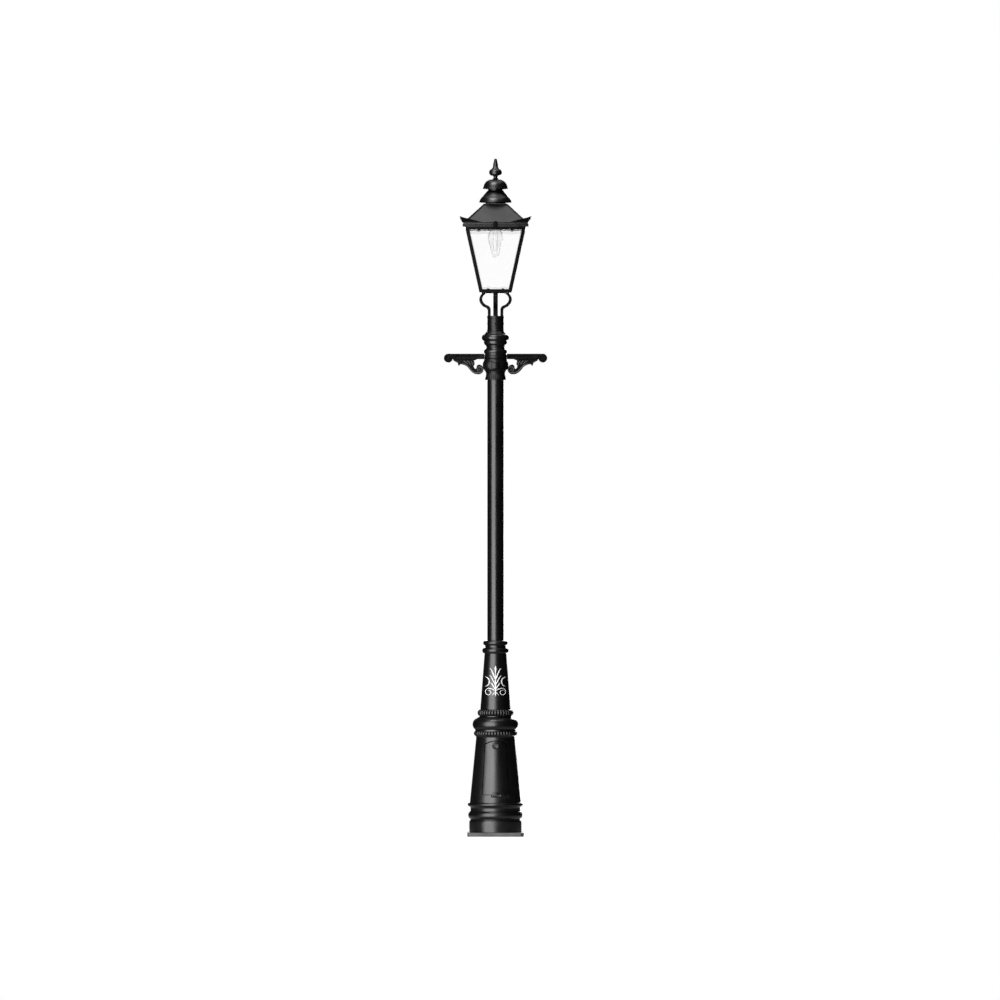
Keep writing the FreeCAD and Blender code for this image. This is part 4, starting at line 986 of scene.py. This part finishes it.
def cradle_socket():
    """Collar over the spigot, with the lead hole in its top."""
    outline = lifted([(SPIGOT_BORE, 0), (45.4, 0), (45.4, 9), (44, 11), (44, 70), (45.4, 73)],
                     CAPITAL_HEAD)
    outline += lifted([(45.4, 0), (12, 0), (12, -7), (SPIGOT_BORE, -7)], COLLAR_HEAD)
    lathe("cradle_socket", outline, SOFT, "post", ("cradle_collar",))


def volute(cx, cz, radius, half):
    """Disc with a spiral groove and a raised eye on both flanks."""
    around, rings, pitch, eye = 144, 22, 8.5, 4.6

    def flank(r, angle):
        if r < eye:
            return half - 1.2 + 1.6 * math.sqrt(max(0, 1 - (r / eye) ** 2))
        turn = (r / pitch - angle / math.tau) % 1
        groove = (0.5 + 0.5 * math.cos(math.tau * turn)) ** 2
        rim = max(0, (r - radius + 3) / 3)
        return half - 2.6 * groove * min(1, (radius + 1 - r) / 3) - 3 * rim * rim

    verts, faces = [], []
    for sign in (-1, 1):
        faces += disc_faces(len(verts), rings, around)
        verts.append((cx, sign * (half + 0.4), cz))
        for ring in range(1, rings + 1):
            r = radius * ring / rings
            for step in range(around):
                angle = math.tau * step / around
                y = sign * flank(r, angle)
                verts.append((cx + r * math.cos(angle), y, cz + r * math.sin(angle)))
    first = 1 + (rings - 1) * around
    second = first + 1 + rings * around
    for step in range(around):
        after = (step + 1) % around
        faces.append((first + step, second + step, second + after, first + after))
    return verts, faces


def tube_along(path, around, squash=1.0):
    """Round rod through points of (x, y, z, radius) that share one Y."""
    rings = []
    for index, (x, y, z, fat) in enumerate(path):
        before, after = path[max(index - 1, 0)], path[min(index + 1, len(path) - 1)]
        along = Vector((after[0] - before[0], 0, after[2] - before[2])).normalized()
        across = Vector((along.z, 0, -along.x))
        rings.append(ring_of(Vector((x, y, z)), across * fat, Vector((0, 1, 0)) * fat * squash, around))
    return loft(rings)


def flank_leaf(x, z, y, length, wide, lean, lift):
    """Small domed leaf lying on a flank."""
    verts, faces = moved(sphere((0, 0, 0), (length, lift, wide)), Matrix.Rotation(-lean, 3, "Y"))
    return [tuple(Vector(v) + Vector((x, y, z))) for v in verts], faces


def bar_mesh():
    """Moulded bar: rounded flanges, sunk flank with a running vine, rolled end."""
    stations = [BAR_ROOT, 70, 75.9, 77, 78, 79.1, 100, 140, 180, 210.9, 212, 213, 214.1, 235, BAR_END]
    parts = [loft([[(x, *spot) for spot in bar_ring(x)] for x in stations]),
             volute(BAR_END, BAR_TOP - 24, 24, 12)]
    middle, start, end, count = BAR_FOOT + 15.3, 84, 207, 120
    for y in (-6.0, 6.0):
        vine = []
        for step in range(count):
            x = start + step * (end - start) / (count - 1)
            vine.append((x, y, middle + 2.6 * math.sin((x - start) / 24 * math.tau), 1.6))
        parts.append(tube_along(vine, 8))
        for leaf in range(10):
            x, up = 90 + leaf * 12, 1 - leaf % 2 * 2
            parts.append(flank_leaf(x, middle - up * 2.4, y, 5.2, 2.6, up * 0.6, 2.6))
            parts.append(flank_leaf(x + 4.5, middle + up * 0.5, y, 2.6, 1.9, -up * 0.9, 2.4))
    return merged(parts)


def bar_ring(x):
    """Fixed-size cross-section of the bar at a station, with its flank sunk between the ends."""
    inset = 2.6 * share_of((x - 76) / 3) * share_of((214 - x) / 3)
    right = lifted([
        (3.4, 0), (6.2, 0.9), (7.6, 2.6), (8, 4.2), (7.5, 6.2), (8 - 0.5 - inset * 0.6, 8),
        (7.6 - inset, 9.6), (7.6 - inset, 19.6), (7.5 - inset * 0.6, 21.2), (7.5, 23), (8, 25),
        (7.6, 27.2), (6.2, 29.1), (3.4, BAR_TOP - BAR_FOOT)], BAR_FOOT)
    return right + [(-y, z) for y, z in reversed(right)]


def plate_of(outline, half):
    """Flat plate in the X-Z plane over a closed outline, with a stated half thickness."""
    size = len(outline)
    verts = [(x, -half, z) for x, z in outline] + [(x, half, z) for x, z in outline]
    faces = [tuple(range(size)), tuple(reversed(range(size, 2 * size)))]
    for index in range(size):
        after = (index + 1) % size
        faces.append((index, size + index, size + after, after))
    return verts, faces


def bracket_web():
    """Pierced scroll outline that hangs under the bar."""
    return trace(lifted([
        (100, 0), (230, 0), (226, -8), (214, -15, "crown"), (204, -20), (201.5, -31, "crown"),
        (196, -39.5), (196.5, -31, "crown"), (189, -26), (156, -38, "crown"), (129, -65),
        (113, -77, "crown"), (93, -82), (64.8, -57, "crown"), (88, -28), (98, -32, "crown"),
        (103, -44), (105, -50, "crown"), (108, -52), (114, -47, "crown"), (117.5, -37),
        (115, -31, "crown"), (109.5, -28.5), (116, -25, "crown"), (119.5, -16), (116, -7, "crown"),
        (104, -3.5)], BAR_FOOT), 10, True)


BRACKET_STEMS = [
    [(197, -33, 2.2), (191, -24, 3.6), (176, -25, 4.4), (160, -30, 5), (146, -40, 5.6),
     (134, -54, 6), (121, -67, 6), (106, -75, 6)]
    + [(x, z, 5.8 * fat) for x, z, fat in spiral(87, -55, 20, 6.5, -62, -1.3, 1, 22)],
    [(226, -4, 2.6), (212, -10, 4), (200, -16, 4), (188, -16, 3.4), (176, -12, 2)],
    [(184, -4, 2.4), (170, -10, 4.4), (156, -19, 4.6), (145, -32, 3.4), (139, -42, 2)],
    [(164, -2, 2), (152, -8, 4.2), (141, -18, 4.6), (133, -32, 3.8), (128, -48, 2)],
    [(144, -2, 2), (134, -9, 4), (126, -19, 4.4), (122, -33, 4), (120, -50, 2.2)],
    [(126, -3, 2.4), (119, -10, 3.8), (117, -18, 3.6), (114, -26, 2)],
    [(108, -3, 3), (118, -2, 3.4), (132, -2, 3), (150, -2, 2)],
]


def bracket_carving():
    """Rounded stems and overlapping leaves, full on both flanks, with an eye in the volute."""
    parts = []
    for points in BRACKET_STEMS:
        path = smooth_path(lifted(points, BAR_FOOT), 5)
        parts.append(tube_along([(x, 0, z, fat) for x, z, fat in path], 12, 1.05))
    parts.append(sphere((87, 0, BAR_FOOT - 55), (6.2, 7.6, 6.2), 10, 18))
    return merged(parts)


def arms():
    """Both ladder arms: bar, pierced bracket and its carving."""
    for name, turn in (("right", 0), ("left", math.pi)):
        rotation = Matrix.Rotation(turn, 3, "Z")
        bar = moved(bar_mesh(), rotation)
        weighted(mesh_piece(f"arm_{name}", bar, DULL, "post", (f"ladder_bar_{name}",)))
        web = moved(plate_of(bracket_web(), 4), rotation)
        bevelled(mesh_piece(f"bracket_web_{name}", web, DULL, "post", (f"scroll_bracket_{name}",)), 1.5)
        carving = moved(bracket_carving(), rotation)
        mesh_piece(f"bracket_carving_{name}", carving, RELIEF, "post")


# ---------------------------------------------------------------- ventilator and roof trim

def ventilator():
    """Chimney, two cowls and the turned finial, from the roof upwards."""
    pipe = lifted([(37, 0), (54, 0), (54, 3), (45, 10), (40, 22)], ROOF_TOP) + [(40, 3505), (37, 3505)]
    lathe("chimney", pipe, SHEET, "roof", ("chimney_neck",), edge=1.0)
    lathe("cowl_lower", lifted([
        (40.1, 33), (42, 33), (55, 18, "crown"), (68.6, 2), (70.5, -1), (84, -18, "crown"), (89, -33),
        (86, -33), (80.5, -20, "crown"), (67, -4), (40.1, 26)], 3453),
          CAST, "roof", ("lower_cowl",), edge=0.9)
    lathe("cowl_upper", lifted([
        (6.2, 44), (6.2, 57), (14, 57), (20, 53), (51, 40, "crown"), (65, 14), (69, 0), (66, 0),
        (61, 13), (41, 13), (41, 30)], 3493),
          CAST, "roof", ("upper_cowl",), edge=0.9)
    lathe("finial_turning", lifted([
        (0, 41), (6.2, 41), (6.2, 0), (14, 0), (10.8, 4), (10.8, 9), (16, 14), (34.8, 36, "crown"),
        (22, 51), (14.5, 61), (13.5, 73), (8.2, 99), (6.8, 105), (3.6, 107.5), (0, 108)], 3550),
          CAST, "roof", ("finial",), edge=1.2, closed=False)


def square_loop(profile):
    """Sweep a closed outline of (half width, height) round a square with mitred corners."""
    corners = [(-1, -1), (1, -1), (1, 1), (-1, 1)]
    verts = [(x * half, y * half, z) for x, y in corners for half, z in profile]
    return verts, ring_faces(len(corners), len(profile))


def eaves():
    """Sheet fascia: drip band, shallow roll and top fillet, with the roof's hinge barrels behind."""
    foot, top, half, ledge = EAVES_FOOT, EAVES_TOP, EAVES_HALF, ROOF_FOOT_HALF - 5
    profile = [(half - 0.6, foot), (half, foot + 0.6), (half, foot + 4.6), (half - 2, foot + 6)]
    profile += arc_points((half - 2, foot + 6), (half - 0.3, foot + 13), (half - 3.4, foot + 21), 8)
    profile += [(half - 3.4, top - 3), (half - 0.5, top - 2.4), (half - 0.5, top), (ledge, top),
                (ledge, top - 3), (half - 6.5, top - 3), (half - 6.5, foot + 3), (half - 32, foot + 3),
                (half - 32, foot)]
    parts = [square_loop(profile)]
    tab = lifted([(177, 1.5), (181.3, 1.5), (181.3, 17.5), (177, 17.5)], ROOF_HINGE_LEVEL)
    for start in (-87.5, 64):
        end = start + 24
        parts.append(bar_along_x(start, end, ROOF_HINGE_DEPTH, ROOF_HINGE_LEVEL, ROOF_HINGE_RADIUS))
        parts.append(block_along_x(start, end, tab))
    weighted(mesh_piece("eaves_fascia", merged(parts), SHEET, "roof", ("roof_fascia",)))


def eaves_seal():
    """Square rubber strip under the fascia."""
    outer, inner = EAVES_HALF - 20, EAVES_HALF - 27
    top, foot = EAVES_FOOT, EAVES_FOOT - 0.9
    strip = square_loop([(inner, foot), (outer, foot), (outer, top), (inner, top)])
    mesh_piece("eaves_seal", strip, RUBBER, "roof", smooth=False)


def hip_rolls():
    """Round rolls over the four hips, thinner at their ends."""
    foot = Vector((ROOF_FOOT_HALF - 1, ROOF_FOOT_HALF - 1, EAVES_TOP + 1))
    head = Vector((ROOF_HEAD_HALF + 1, ROOF_HEAD_HALF + 1, ROOF_TOP - 3.5))
    direction = (head - foot).normalized()
    side = direction.cross(Vector((0, 0, 1))).normalized()
    up = side.cross(direction).normalized()
    roll_part = loft([ring_of(foot.lerp(head, t), side * fat, up * fat, 14)
                      for t, fat in ((0, 3.6), (0.03, 4.6), (0.97, 4.2), (1, 3.2))])
    four = [moved(roll_part, Matrix.Rotation(math.pi / 2 * count, 3, "Z")) for count in range(4)]
    mesh_piece("hip_rolls", merged(four), SHEET, "roof")


# ---------------------------------------------------------------- lamp

LAMP_HEAD = 3283


def lamp_envelope():
    """Thin elliptical glass envelope."""
    outer = trace(lifted([
        (0.4, -158), (15, -150, "crown"), (22, -130), (33, -86), (40, -44, "crown"), (26, -12),
        (14, 1), (14, 4.5)], LAMP_HEAD), 18)
    wall, tip = 0.9, LAMP_HEAD - 145
    inner = [(max(0.2, radius - wall), height + (wall if height < tip else 0))
             for radius, height in reversed(outer)]
    lathe("lamp_envelope", outer + inner, BULB, "post", ("lamp_glass",), segments=72,
          edge=0.3)


def arc_tube():
    """Short closed tube in the lamp and the two wires that hold it."""
    outline = [(0, -118), (4, -115), (6, -108), (6, -66), (4, -59), (0, -56)]
    lathe("arc_tube", lifted(outline, LAMP_HEAD), BULB, "post", segments=36,
          edge=1.0, closed=False)
    wires = []
    for side in (-1, 1):
        bends = lifted([(12, -10), (12, -60), (10, -112), (4, -126)], LAMP_HEAD)
        wires.append(tube_along([(side * x, 0, z, 0.8) for x, z in bends], 8))
    mesh_piece("lamp_supports", merged(wires), ZINC, "post")


floor()
studio()
camera()
for paint, edge_width, names in CAD_LOOKS:
    for node_name in names.split():
        dressed(node_name, paint, edge_width)
pedestal()
neck_casting()
plain_tube()
door()
lock_ring()
ornament()
capital_bulb()
capital_rings()
cradle_socket()
arms()
ventilator()
eaves()
eaves_seal()
hip_rolls()
lamp_envelope()
arc_tube()
